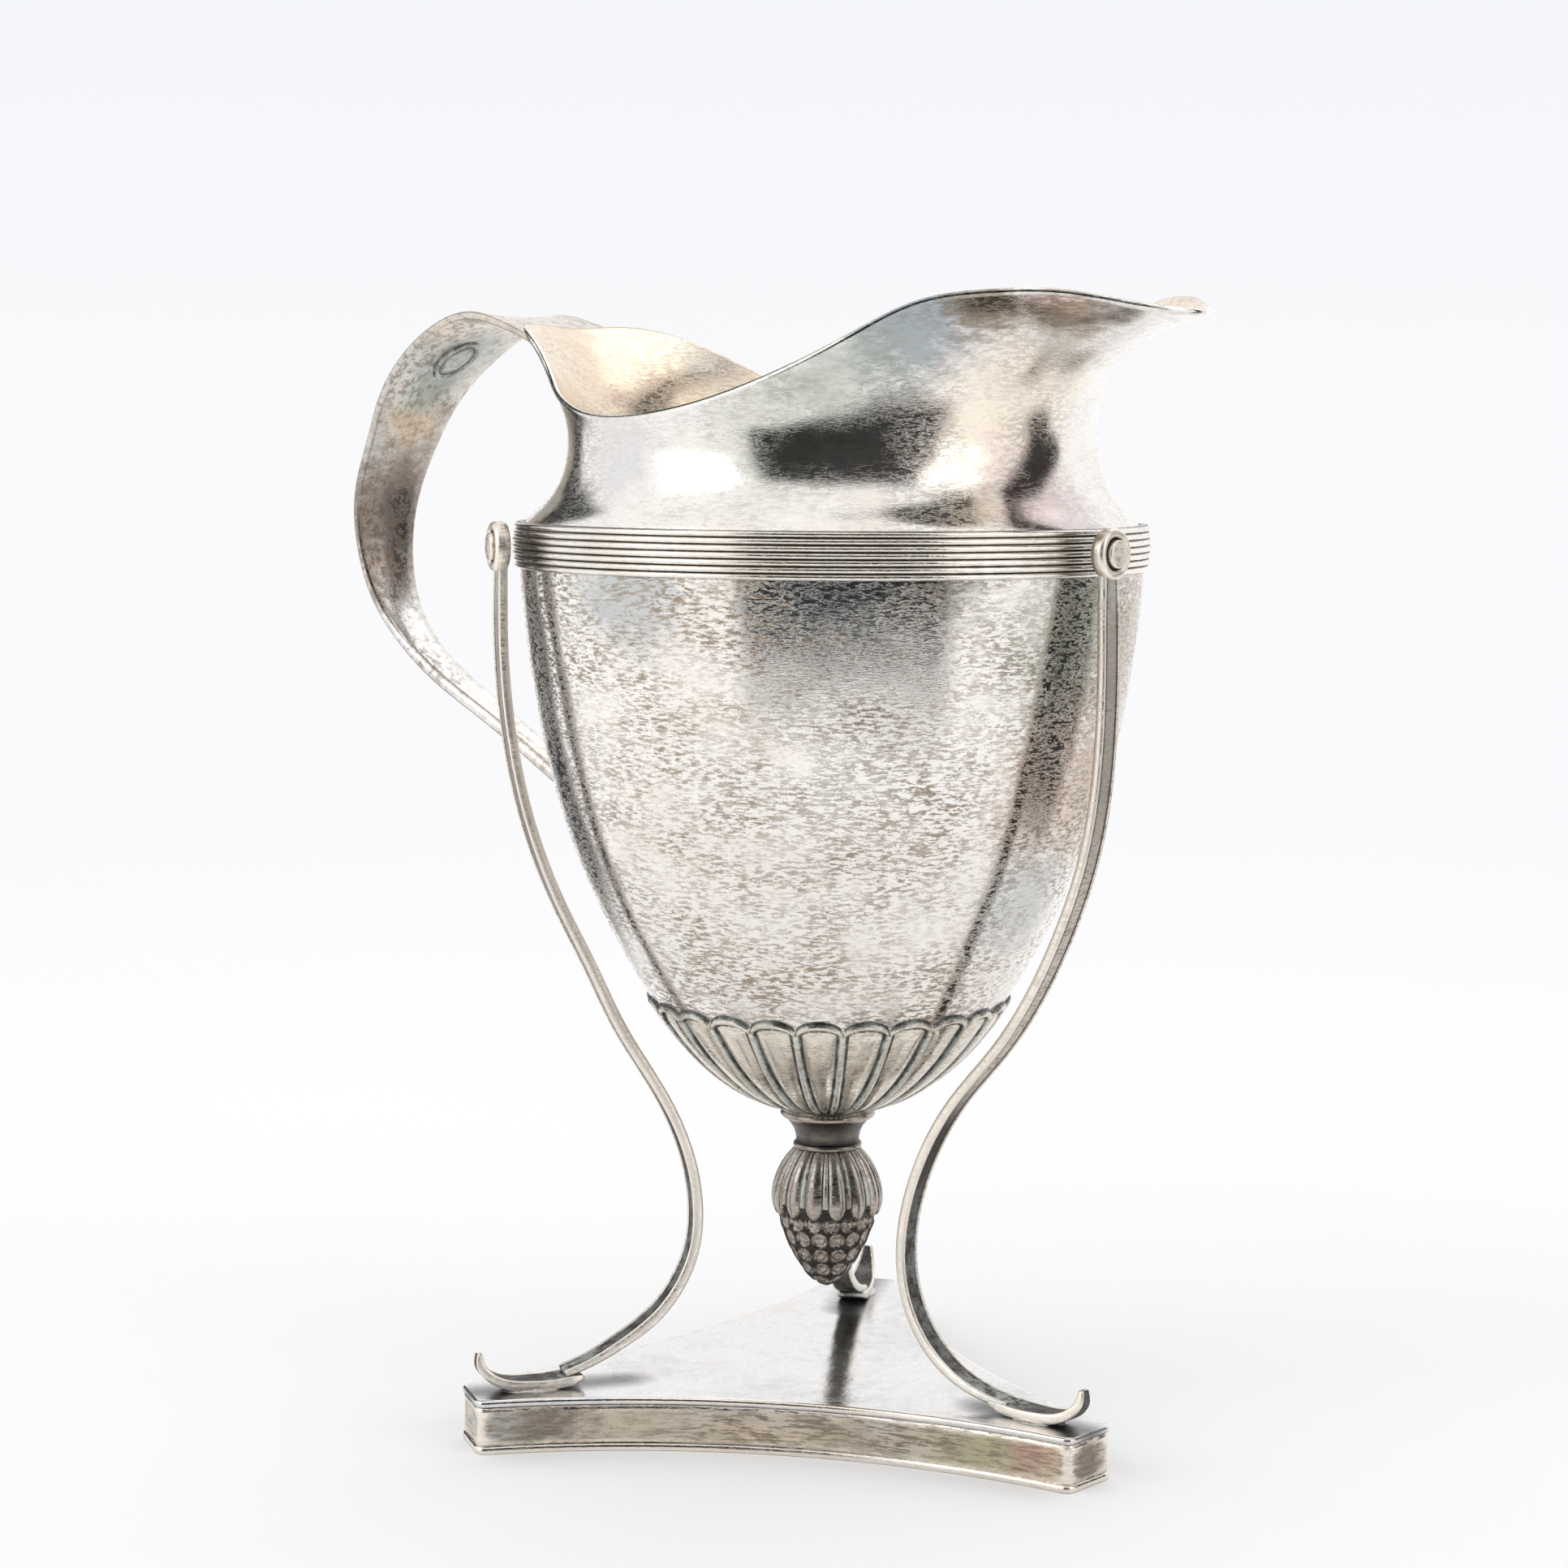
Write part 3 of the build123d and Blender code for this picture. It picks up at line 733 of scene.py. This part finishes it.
def sweep(path, sections):
    """Rings of points. path is (out, up); each section is (across, off the surface) points."""
    tangent = unit(np.gradient(path, axis=0))
    outward = np.stack([tangent[:, 1], -tangent[:, 0]], axis=1)
    rings = []
    for (o, u), (no, nu), section in zip(path, outward, sections):
        rings.append([(o + no * lift, across, u + nu * lift) for across, lift in section])
    return np.array(rings)


def turned(points, degrees):
    """Points turned about Z."""
    a = math.radians(degrees)
    x, y, z = points[..., 0], points[..., 1], points[..., 2]
    return np.stack([x * math.cos(a) - y * math.sin(a), x * math.sin(a) + y * math.cos(a), z], axis=-1)


def foot_shift(degrees):
    """How far the base puts a foot sideways of its leg's own radius."""
    a = math.radians(degrees)
    return -BASE_OFFSET[0] * math.sin(a) + BASE_OFFSET[1] * math.cos(a)


def leaned(points, degrees):
    """Leg points turned to their place, leaning from the boss to the offset base."""
    drop = (LEG_TOP - points[..., 2]) / (LEG_TOP - BASE_TOP)
    sideways = points[..., 1] + foot_shift(degrees) * drop
    return turned(np.stack([points[..., 0], sideways, points[..., 2]], axis=-1), degrees)


def capped(rings):
    """Vertices and faces of a tube of rings with both ends filled."""
    count, size = rings.shape[:2]
    faces = grid_faces(count, size, close_u=False, close_v=True)
    faces.append(tuple(range(size)))
    faces.append(tuple(reversed(range((count - 1) * size, count * size))))
    return rings.reshape(-1, 3), faces


def strap_section(half, thick, bead, channel):
    """Points and shades: flat inside, a bead along each edge of the outside, a shallow channel between."""
    pts, tone = [], []
    low = thick / 2 - 0.55 * bead
    inner_half = half - 2 * bead
    for side, first in ((1, -90), (-1, 90)):
        for a in np.radians(np.linspace(first, first + 180, 9)):
            pts.append((side * (half - bead) + bead * math.cos(a), math.sin(a) * (thick / 2)))
            tone.append(1.0)
        if side == 1:
            pts.append((half - 1.7 * bead, thick / 2 - 0.25 * bead))
            tone.append(0.6)
            for x in np.linspace(inner_half, -inner_half, 7):
                pts.append((x, low + 0.10 * bead * (1 - (x / inner_half) ** 2)))
                tone.append(0.08 if abs(x) > 0.95 * inner_half else channel)
            pts.append((-half + 1.7 * bead, thick / 2 - 0.25 * bead))
            tone.append(0.6)
    # The flat inside faces the body; its low shade of 0.10 is painted shade, so that the body reflects a
    # dark strip.
    for x in np.linspace(-half + 1.4 * bead, half - 1.4 * bead, 6):
        pts.append((x, -thick / 2))
        tone.append(0.10)
    return pts, tone


def strap(name, points, steps, widths, thicknesses, bead, channels, chalks, turn, **kwargs):
    """A leg or foot piece along points given top to tip; each table is (place from 0 to 1, value) pairs."""
    path = spline(points, steps)[::-1]
    place = np.linspace(1, 0, steps)

    def table(pairs):
        return np.interp(place, *zip(*pairs))

    parts = [
        strap_section(half, thick, bead, channel)
        for half, thick, channel in zip(table(widths), table(thicknesses), table(channels))
    ]
    rings = leaned(sweep(path, [pts for pts, _ in parts]), turn)
    verts, faces = capped(rings)
    tones = np.array([tone for _, tone in parts])
    dust = np.repeat(table(chalks), rings.shape[1])
    make(name, verts, faces, strap_metal, tones, dust, slot="silver_strap", **kwargs)


# (radius, height) of the middle of each strap, from the boss down to the solder joint
leg_curves = {
    "spout": [
        (42.8, 110.6), (43.15, 100), (42.9, 88), (41.0, 76), (38.2, 68), (34.3, 60), (28.9, 52),
        (21.9, 44), (17.1, 36), (14.6, 28), (14.3, 23.5), (15.3, 18.5), (18.6, 13.2), (23.4, 9.8),
        (28.5, 8.3), (31.5, 7.9),
    ],
    "right": [
        (42.8, 110.6), (42.9, 100), (42.3, 89), (40.4, 78), (36.9, 68), (32.9, 60), (28.2, 52),
        (22.3, 44), (18.1, 36), (16.0, 28), (16.2, 23.5), (17.6, 18.5), (20.9, 13.9), (25.6, 10.6),
        (30.5, 8.8), (33.2, 8.2),
    ],
    "left": [
        (42.8, 110.6), (42.8, 100), (41.9, 90), (39.9, 80), (35.5, 68), (31.5, 60), (27.6, 52),
        (22.7, 44), (19.0, 36), (17.6, 28), (18.0, 23.5), (19.8, 19.0), (23.2, 14.8), (28.0, 11.6),
        (32.5, 9.4), (35.0, 8.6),
    ],
}
foot_curve = [
    (31.4, 8.0), (34.5, 7.5), (38.2, 7.45), (41.3, 7.8), (43.4, 8.9), (44.4, 10.3), (44.5, 11.7),
]
# how far each foot stands out from that curve
FOOT_OUT = {"spout": -2.4, "right": -1.3, "left": 1.3}
# shade of the channel in the upper and the lower half of each leg
CHANNEL = {"spout": (0.50, 0.12), "right": (0.50, 0.15), "left": (0.75, 0.18)}
LEG_STEPS = 160
FOOT_STEPS = 60
for side, turn in LEG_ANGLES.items():
    upper, lower = CHANNEL[side]
    strap(
        f"leg_strap_{side}", leg_curves[side], LEG_STEPS,
        widths=[(0, 1.5), (0.05, 1.75), (0.5, 1.65), (0.75, 1.5), (0.92, 1.7), (1, 1.8)],
        thicknesses=[(0, 1.15), (0.5, 1.3), (0.9, 1.4), (1, 0.9)],
        bead=0.32,
        channels=[(0, upper), (0.55, upper), (0.65, lower), (1, lower)],
        chalks=[(0, 0.6), (0.02, 0.5), (0.06, 0), (0.68, 0), (0.78, 0.35), (0.92, 0.25), (1, 0.9)],
        turn=turn, replaces=(f"leg_{side}",),
    )
    strap(
        f"foot_scroll_{side}", [(r + FOOT_OUT[side], z) for r, z in foot_curve], FOOT_STEPS,
        widths=[(0, 1.9), (0.1, 2.15), (0.35, 2.1), (0.6, 1.75), (0.8, 1.3), (1, 0.75)],
        thicknesses=[(0, 0.7), (0.1, 1.25), (0.6, 1.3), (0.9, 1.15), (1, 0.7)],
        bead=0.22,
        channels=[(0, 0.06), (1, 0.06)],
        chalks=[(0, 0.9), (0.2, 0.6), (0.35, 0.1), (0.6, 0.15), (0.75, 0.3), (1, 0.1)],
        turn=turn,
    )

# ---- bosses ----
ring_low, ring_high = box_mm("boss_ring_spout")
boss_z = (ring_low[2] + ring_high[2]) / 2
boss_x = ring_low[0]
ring_profile = np.vstack([
    [(1.75, -1.2), (2.85, -1.2)],
    arc(2.75, -0.55, 0.32, -60, 20, 4),
    arc(2.45, 0.0, 0.62, 10, 115, 9),
    [(1.95, 0.30), (1.80, 0.12)],
])
ring_shade = np.array([0.5, 0.6] + [0.9] * 4 + [1.0] * 9 + [0.25, 0.0])
rivet_profile = np.vstack([
    [(1.60, -1.0), (1.68, 0.35)],
    arc(1.42, 0.72, 0.26, 0, 80, 6),
    spline([(1.2, 1.00), (0.6, 1.06), (0.02, 1.08)], 6),
])
rivet_shade = np.array([0.1, 0.4] + [1.0] * 12)


BOSS_STEPS = 64


def boss_piece(name, profile, shades, turn, node):
    """A profile of (radius, height) turned about a radial axis through the boss."""
    a = np.linspace(0, 2 * math.pi, BOSS_STEPS, endpoint=False)
    grid = np.stack([
        boss_x + np.tile(profile[:, 1], (BOSS_STEPS, 1)),
        np.outer(np.cos(a), profile[:, 0]),
        boss_z + np.outer(np.sin(a), profile[:, 0]),
    ], axis=-1)
    make(
        name, turned(grid, turn).reshape(-1, 3), grid_faces(BOSS_STEPS, len(profile)), strap_metal,
        np.tile(shades, (BOSS_STEPS, 1)), replaces=(node,), slot="silver_cast",
    )


for side, turn in LEG_ANGLES.items():
    boss_piece(f"boss_ring_{side}_mesh", ring_profile, ring_shade, turn, f"boss_ring_{side}")
    boss_piece(f"rivet_{side}_mesh", rivet_profile, rivet_shade, turn, f"rivet_{side}")

# ---- handle ----
# (x, z) of the middle of the strap, from the rim to the body
handle_curve = [
    (-44.0, 138.3), (-50.2, 140.4), (-57.0, 141.7), (-63.3, 140.2), (-69.6, 136.6), (-75.9, 130.8),
    (-79.6, 124.7), (-82.9, 117.2), (-83.3, 109.0), (-81.3, 102.6), (-77.3, 97.4), (-71.0, 92.5),
    (-62.6, 88.0), (-52.0, 82.2), (-41.5, 76.4), (-31.0, 70.6),
]
HANDLE_STEPS = 220
SMOOTH = 7    # the widths are averaged over this many steps each way
path = spline(handle_curve, HANDLE_STEPS, start=(-1, 0.42))
width_heights = [70, 84.5, 89, 97, 103, 110, 118, 124.6, 130, 134.7, 138, 142]
half_widths = [2.4, 2.4, 2.8, 3.3, 4.2, 5.1, 6.1, 6.5, 7.4, 8.4, 9.0, 9.2]
half = np.interp(path[:, 1], width_heights, half_widths)
s = np.linspace(0, 1, HANDLE_STEPS)
half = half + np.interp(s, [0, 0.03, 0.07], [1.2, 0.6, 0.0])
kernel = np.ones(2 * SMOOTH + 1) / (2 * SMOOTH + 1)
half = np.convolve(np.pad(half, SMOOTH, mode="edge"), kernel, mode="valid")
thick = np.interp(s, [0, 0.1, 0.45, 0.65, 1], [0.9, 1.1, 1.3, 1.9, 2.0])


def handle_section(half, thick, dome):
    """A flat strap with round edges that bows by dome."""
    pts = []
    edge = thick / 2
    for a in np.linspace(-90, 90, 9):
        pts.append((half - edge + edge * math.cos(math.radians(a)), -edge * math.sin(math.radians(a))))
    for x in np.linspace(half - edge, -half + edge, 12)[1:-1]:
        pts.append((x, -edge - dome * (1 - (x / half) ** 2)))
    for a in np.linspace(90, 270, 9):
        pts.append((-half + edge + edge * math.cos(math.radians(a)), -edge * math.sin(math.radians(a))))
    for x in np.linspace(-half + edge, half - edge, 12)[1:-1]:
        pts.append((x, edge - dome * (1 - (x / half) ** 2)))
    return pts


dome = np.interp(s, [0, 0.1, 0.5, 0.7, 1], [0.3, 0.5, 0.4, 0.0, 0.0])
rings = sweep(path, [handle_section(h, t, d) for h, t, d in zip(half, thick, dome)])
verts, faces = capped(rings)
make("handle_strap", verts, faces, handle_metal, replaces=("handle",), slot="silver_strap")

# ---- plain oval plate under the handle ----
rosette_low, rosette_high = box_mm("handle_rosette")
centre = (rosette_low + rosette_high) / 2
slope = math.radians(34)
along_strap = np.array([math.cos(slope), 0, math.sin(slope)])
down = np.array([math.sin(slope), 0, -math.cos(slope)])
OVAL_LONG = 4.3
OVAL_WIDE = 2.9
OVAL_STEPS = 72
# (share of the size, drop in mm, shade) from the strap round the raised edge to the middle
oval_profile = [(1.0, -0.6, 0.5)]
for k, lift in arc(0.93, 0.0, 0.09, 0, 160, 7):
    bead = k < 1.0 and lift > 0.0
    oval_profile.append((k, lift * 3.2 if bead else lift, 1.0))
oval_profile += [(0.78, 0.05, 0.2), (0.5, 0.12, 0.7), (0.02, 0.16, 0.8)]
verts, tones = [], []
for angle in np.linspace(0, 2 * math.pi, OVAL_STEPS, endpoint=False):
    for k, lift, tone in oval_profile:
        across = np.array([0, k * OVAL_WIDE * math.sin(angle), 0])
        verts.append(centre + along_strap * (k * OVAL_LONG * math.cos(angle)) + across + down * lift)
        tones.append(tone)
make(
    "handle_oval", verts, grid_faces(OVAL_STEPS, len(oval_profile)), handle_metal, tones,
    replaces=("handle_rosette",), slot="silver_strap",
)

# ---- base ----
CORNER_RADIUS = 44.8
CORNER_HALF = 4.2
HOLLOWS = (5.8, 4.2, 7.9)
CLIP_STEPS = 7
SIDE_STEPS = 60
EDGE_CUT = 1.1
FILL_RINGS = 26


def corner_end(k, side):
    """End of clipped corner k: side -1 comes first going anticlockwise, 1 second."""
    a = math.radians(120 * (k % 3))
    return np.array([
        CORNER_RADIUS * math.cos(a) - side * CORNER_HALF * math.sin(a),
        CORNER_RADIUS * math.sin(a) + side * CORNER_HALF * math.cos(a),
    ])


def side_points(start, end, hollow, count):
    """Arc from start to end that bows towards the centre by hollow."""
    middle = (start + end) / 2
    chord = np.linalg.norm(end - start)
    inward = -unit(middle)
    radius = (chord * chord / 4 + hollow * hollow) / (2 * hollow)
    centre = middle + inward * (hollow - radius)
    a0 = math.atan2(*(start - centre)[::-1])
    a1 = math.atan2(*(end - centre)[::-1])
    while a1 - a0 > math.pi:
        a1 -= 2 * math.pi
    while a1 - a0 < -math.pi:
        a1 += 2 * math.pi
    a = np.linspace(a0, a1, count)
    return np.stack([centre[0] + radius * np.cos(a), centre[1] + radius * np.sin(a)], axis=1)


def rounded(points, steps=5):
    """The closed outline with each sharp corner replaced by a short curve."""
    out = []
    n = len(points)
    for i in range(n):
        p, before, after = points[i], points[i - 1], points[(i + 1) % n]
        turn = math.degrees(math.acos(np.clip(np.dot(unit(p - before), unit(after - p)), -1, 1)))
        if turn < 20:
            out.append(p)
            continue
        a = p + unit(before - p) * EDGE_CUT
        b = p + unit(after - p) * EDGE_CUT
        for t in np.linspace(0, 1, steps):
            out.append((1 - t) ** 2 * a + 2 * t * (1 - t) * p + t * t * b)
    return np.array(out)


outline = []
for k, hollow in enumerate(HOLLOWS):
    clip = np.linspace(corner_end(k, -1), corner_end(k, 1), CLIP_STEPS)
    side = side_points(corner_end(k, 1), corner_end(k + 1, -1), hollow, SIDE_STEPS)
    outline += [*clip[:-1], *side[:-1]]
outline = rounded(np.array(outline))
edge = np.roll(outline, -1, axis=0) - np.roll(outline, 1, axis=0)
outline_normal = unit(np.stack([edge[:, 1], -edge[:, 0]], axis=1))
outline += BASE_OFFSET


def base_loops(name, stack, shades, material, fills=(), tone_of=None, **kwargs):
    """The base outline pushed out by each (offset, height) of stack; fills names the ends to close."""
    count = len(outline)
    verts = [np.hstack([outline + outline_normal * push, np.full((count, 1), z)]) for push, z in stack]
    tones = [np.full(count, shade) for shade in shades]
    faces = []
    for j in range(len(stack) - 1):
        for i in range(count):
            a = j * count + i
            b = j * count + (i + 1) % count
            faces.append((a, b, b + count, a + count))
    for end in fills:
        row = 0 if end == "first" else len(stack) - 1
        last = verts[row]
        previous = range(row * count, (row + 1) * count)
        flip = 1 if end == "last" else -1
        for k in np.linspace(1, 0, FILL_RINGS)[1:-1]:
            first = sum(len(v) for v in verts)
            verts.append(last * [k, k, 1])
            tones.append(np.full(count, shades[-1]))
            ring = range(first, first + count)
            for i in range(count):
                j = (i + 1) % count
                faces.append((previous[i], previous[j], ring[j], ring[i])[::flip])
            previous = ring
        middle = sum(len(v) for v in verts)
        verts.append(np.array([[0, 0, last[0][2]]]))
        tones.append(np.array([shades[-1]]))
        for i in range(count):
            faces.append((previous[i], previous[(i + 1) % count], middle)[::flip])
    verts = np.concatenate(verts)
    tones = np.concatenate(tones)
    if tone_of is not None:
        tones = tones * tone_of(verts)
    return make(name, verts, faces, material, tones, slot="silver_base", **kwargs)


def foot_shadow(points):
    """Darker silver on the top plate round the three feet."""
    tone = np.ones(len(points))
    for turn in LEG_ANGLES.values():
        a = math.radians(turn)
        out = points[:, 0] * math.cos(a) + points[:, 1] * math.sin(a)
        across = -points[:, 0] * math.sin(a) + points[:, 1] * math.cos(a) - foot_shift(turn)
        beyond = np.maximum(0, 27 - out)
        tone *= 1 - 0.72 * np.exp(-((across / 4.5) ** 2) - (beyond / 5.0) ** 2)
    return tone


def corner_wear_and_highlight(points):
    """Brighter towards the upright edges of the base: painted highlight and wear on the corners."""
    tone = np.ones(len(points))
    for k in range(3):
        for end in (-1, 1):
            away = np.linalg.norm(points[:, :2] - corner_end(k, end) - BASE_OFFSET, axis=1)
            tone += 0.11 * np.exp(-((away / 1.3) ** 2))
    return tone


PLATE_UNDER = BASE_TOP - 0.9
WALL_FOOT = 0.9
WALL_INSIDE = -0.75
top_stack = [
    (WALL_INSIDE, PLATE_UNDER), (-0.05, PLATE_UNDER), (0.10, BASE_TOP - 0.75), (0.16, BASE_TOP - 0.50),
    (0.13, BASE_TOP - 0.25), (0.0, BASE_TOP - 0.06), (-0.25, BASE_TOP), (-0.55, BASE_TOP - 0.02),
    (-0.8, BASE_TOP - 0.04),
]
base_loops(
    "base_top", top_stack, [0.3, 0.2, 0.8, 1, 1, 1, 1, 0.9, 0.9], top_metal,
    fills=("first", "last"), tone_of=foot_shadow, replaces=("base_plate",),
)
side_stack = [
    (WALL_INSIDE, WALL_FOOT), (-0.05, WALL_FOOT), (-0.04, 1.6), (-0.08, 2.4), (-0.10, 3.4), (-0.08, 4.4),
    (-0.04, 5.2), (-0.05, PLATE_UNDER), (WALL_INSIDE, PLATE_UNDER), (WALL_INSIDE, WALL_FOOT),
]
base_loops(
    "base_side", side_stack, [0.5, 1.0, 0.94, 0.9, 0.9, 0.9, 0.94, 1.0, 0.5, 0.5], wall_metal,
    tone_of=corner_wear_and_highlight, replaces=("base_wall",),
)
foot_stack = [
    (-0.8, 0.95), (-0.1, 0.95), (0.10, 0.8), (0.18, 0.45), (0.12, 0.1), (-0.05, 0.0), (-0.7, 0.0),
    (-0.8, 0.1), (-0.8, 0.95),
]
base_loops(
    "base_foot", foot_stack, [0.5, 0.8, 1, 1, 1, 0.9, 0.7, 0.6, 0.5], cast_metal,
    replaces=("base_foot_wire",),
)

# ---- solder under the feet ----
PAD_RINGS = 7
PAD_STEPS = 40
PAD_MIDDLE = 37.6
PAD_LONG = 3.9
PAD_WIDE = 2.5
PAD_RISE = 0.55
for side, turn in LEG_ANGLES.items():
    grid = []
    for a in np.linspace(0, 2 * math.pi, PAD_STEPS, endpoint=False):
        for rise in np.linspace(0, 0.5 * math.pi, PAD_RINGS):
            spread = math.cos(0.96 * rise) * (1 + 0.06 * math.sin(3 * a + turn))
            out = PAD_MIDDLE + FOOT_OUT[side] + PAD_LONG * spread * math.cos(a)
            across = PAD_WIDE * spread * math.sin(a)
            grid.append((out, across, BASE_TOP - 0.05 + PAD_RISE * math.sin(rise)))
    tones = np.tile(np.linspace(0.35, 0.9, PAD_RINGS), (PAD_STEPS, 1))
    make(
        f"foot_solder_{side}", leaned(np.array(grid), turn), grid_faces(PAD_STEPS, PAD_RINGS), cast_metal,
        tones, np.full(len(grid), 0.6), replaces=(f"foot_pad_{side}",), slot="silver_cast",
    )

# ---- floor ----
BACKDROP_LOW = (0.956, 0.956, 0.973)
BACKDROP_HIGH = (0.913, 0.922, 0.956)
FLOOR_GREY = (0.95, 0.95, 0.955)
FLOOR_WHITE = (0.97, 0.97, 0.975)


def floor_material():
    """White near the object, and the backdrop's own colour farther out, so that no horizon shows.

    Away from the object the metal sees through it to the world, as over the edge of a table.
    """
    material = bpy.data.materials.new("studio_floor")
    n = Nodes(material)
    tone = n.mix(n.mask(n.noise((0.004, 0.004, 0.004), 2), 0.3, 0.7), FLOOR_GREY, FLOOR_WHITE)
    diffuse = n.add("ShaderNodeBsdfDiffuse")
    n.link(tone, diffuse.inputs["Color"])
    far = n.add("ShaderNodeEmission")
    far.inputs["Color"].default_value = (*BACKDROP_LOW, 1)
    coords = n.add("ShaderNodeTexCoord")
    length = n.add("ShaderNodeVectorMath", operation="LENGTH")
    n.link(coords.outputs["Object"], length.inputs[0])
    fade = n.mask(length.outputs["Value"], 0.10, 0.75)
    both = n.add("ShaderNodeMixShader")
    n.link(fade, both.inputs[0])
    n.link(diffuse.outputs[0], both.inputs[1])
    n.link(far.outputs[0], both.inputs[2])
    glossy = n.add("ShaderNodeLightPath").outputs["Is Glossy Ray"]
    clear = n.add("ShaderNodeBsdfTransparent")
    open_floor = n.add("ShaderNodeMixShader")
    beyond_table = n.mask(length.outputs["Value"], 0.15, 0.21)
    n.link(n.math("MULTIPLY", glossy, beyond_table), open_floor.inputs[0])
    n.link(both.outputs[0], open_floor.inputs[1])
    n.link(clear.outputs[0], open_floor.inputs[2])
    out = n.add("ShaderNodeOutputMaterial")
    n.link(open_floor.outputs[0], out.inputs["Surface"])
    return material


FLOOR_RADIUS = 3.0
FLOOR_SIDES = 64
mesh = bpy.data.meshes.new("floor")
turns = np.linspace(0, 2 * math.pi, FLOOR_SIDES, endpoint=False)
ring = [(FLOOR_RADIUS * math.cos(a), FLOOR_RADIUS * math.sin(a), 0) for a in turns]
mesh.from_pydata(ring, [], [tuple(range(FLOOR_SIDES))])
floor = bpy.data.objects.new("floor", mesh)
bpy.context.scene.collection.objects.link(floor)
mesh.materials.append(floor_material())

# ---- world: a white room with dark parts that only the metal reflects ----
ROOM_WHITE = (1.08, 1.08, 1.09)
ROOM_FILL = (0.925, 0.925, 0.935)
GAP_DARK = (0.05, 0.05, 0.05)
FRONT_DARK = (0.045, 0.045, 0.045)
world = bpy.data.worlds.new("studio")
bpy.context.scene.world = world
w = Nodes(world)
coords = w.add("ShaderNodeTexCoord")
split = w.add("ShaderNodeSeparateXYZ")
w.link(coords.outputs["Generated"], split.inputs[0])
azimuth = w.math("ARCTAN2", split.outputs["Y"], split.outputs["X"])


def band(centre, half_width, soft):
    """1 inside a range of directions about the object, 0 outside, in degrees from the camera."""
    offset = w.math("SUBTRACT", azimuth, math.radians(CAMERA_AZIMUTH + centre))
    wrapped = w.math("ABSOLUTE", w.math("ARCTAN2", w.math("SINE", offset), w.math("COSINE", offset)))
    return w.mask(wrapped, math.radians(half_width + soft), math.radians(half_width))


height = split.outputs["Z"]
gaps = w.math("MAXIMUM", band(102, 10, 3), band(-148, 10, 4))
front_height = w.math("MULTIPLY", w.mask(height, -0.40, -0.30), w.mask(height, 0.80, 0.68))
front = w.math("MULTIPLY", band(5, 36, 6), front_height)
ray = w.add("ShaderNodeLightPath").outputs
mirrored = ray["Is Glossy Ray"]
sky = w.mix(mirrored, ROOM_FILL, ROOM_WHITE)
sky = w.mix(w.math("MULTIPLY", gaps, mirrored), sky, GAP_DARK)
sky = w.mix(w.math("MULTIPLY", front, mirrored), sky, FRONT_DARK)
backdrop = w.mix(w.mask(height, 0.0, 0.12), BACKDROP_LOW, BACKDROP_HIGH)
sky = w.mix(ray["Is Camera Ray"], sky, backdrop)
background = w.add("ShaderNodeBackground")
w.link(sky, background.inputs["Color"])
background.inputs["Strength"].default_value = 1.0
world_out = w.add("ShaderNodeOutputWorld")
w.link(background.outputs[0], world_out.inputs["Surface"])


# ---- lights ----
LIGHT_TARGET = Vector((0, 0, 0.07))


def area_light(name, azimuth_deg, distance, height_m, size, watts):
    """A softbox aimed at the jug, placed in degrees from the camera and in metres."""
    light = bpy.data.lights.new(name, "AREA")
    light.shape = "RECTANGLE"
    light.size, light.size_y = size
    light.energy = watts
    lamp = bpy.data.objects.new(name, light)
    a = math.radians(CAMERA_AZIMUTH + azimuth_deg)
    lamp.location = (distance * math.cos(a), distance * math.sin(a), height_m)
    lamp.rotation_mode = "QUATERNION"
    lamp.rotation_quaternion = (LIGHT_TARGET - lamp.location).to_track_quat("-Z", "Y")
    bpy.context.scene.collection.objects.link(lamp)


area_light("softbox_left", -62, 0.75, 0.55, (0.45, 0.6), 0.9)
area_light("softbox_right", 55, 0.8, 0.5, (0.4, 0.6), 0.6)
area_light("softbox_top", 160, 0.6, 0.9, (0.8, 0.5), 0.8)

# ---- camera ----
CAMERA_DISTANCE = 422.54    # from the axis of the body, in mm
CAMERA_HEIGHT = 126.30
CAMERA_YAW = 0.792          # degrees away from the axis
CAMERA_PITCH = 5.996
CAMERA_ROLL = 0.317
SENSOR = 36.0
LENS = 76.8522
data = bpy.data.cameras.new("camera")
camera = bpy.data.objects.new("camera", data)
a = math.radians(CAMERA_AZIMUTH)
camera.location = Vector((CAMERA_DISTANCE * math.cos(a), CAMERA_DISTANCE * math.sin(a), CAMERA_HEIGHT)) * MM
yaw = a + math.radians(CAMERA_YAW)
pitch = math.radians(CAMERA_PITCH)
roll = math.radians(CAMERA_ROLL)
level = Vector((-math.cos(yaw), -math.sin(yaw), 0))
vertical = Vector((0, 0, 1))
sideways = level.cross(vertical)
forward = level * math.cos(pitch) - vertical * math.sin(pitch)
upright = vertical * math.cos(pitch) + level * math.sin(pitch)
right = sideways * math.cos(roll) + upright * math.sin(roll)
up = upright * math.cos(roll) - sideways * math.sin(roll)
camera.rotation_mode = "QUATERNION"
camera.rotation_quaternion = Matrix((right, up, -forward)).transposed().to_quaternion()
data.sensor_width = SENSOR
data.lens = LENS
data.clip_start = 0.01
data.clip_end = 50
bpy.context.scene.collection.objects.link(camera)
bpy.context.scene.camera = camera
bpy.context.scene.view_settings.view_transform = "Standard"
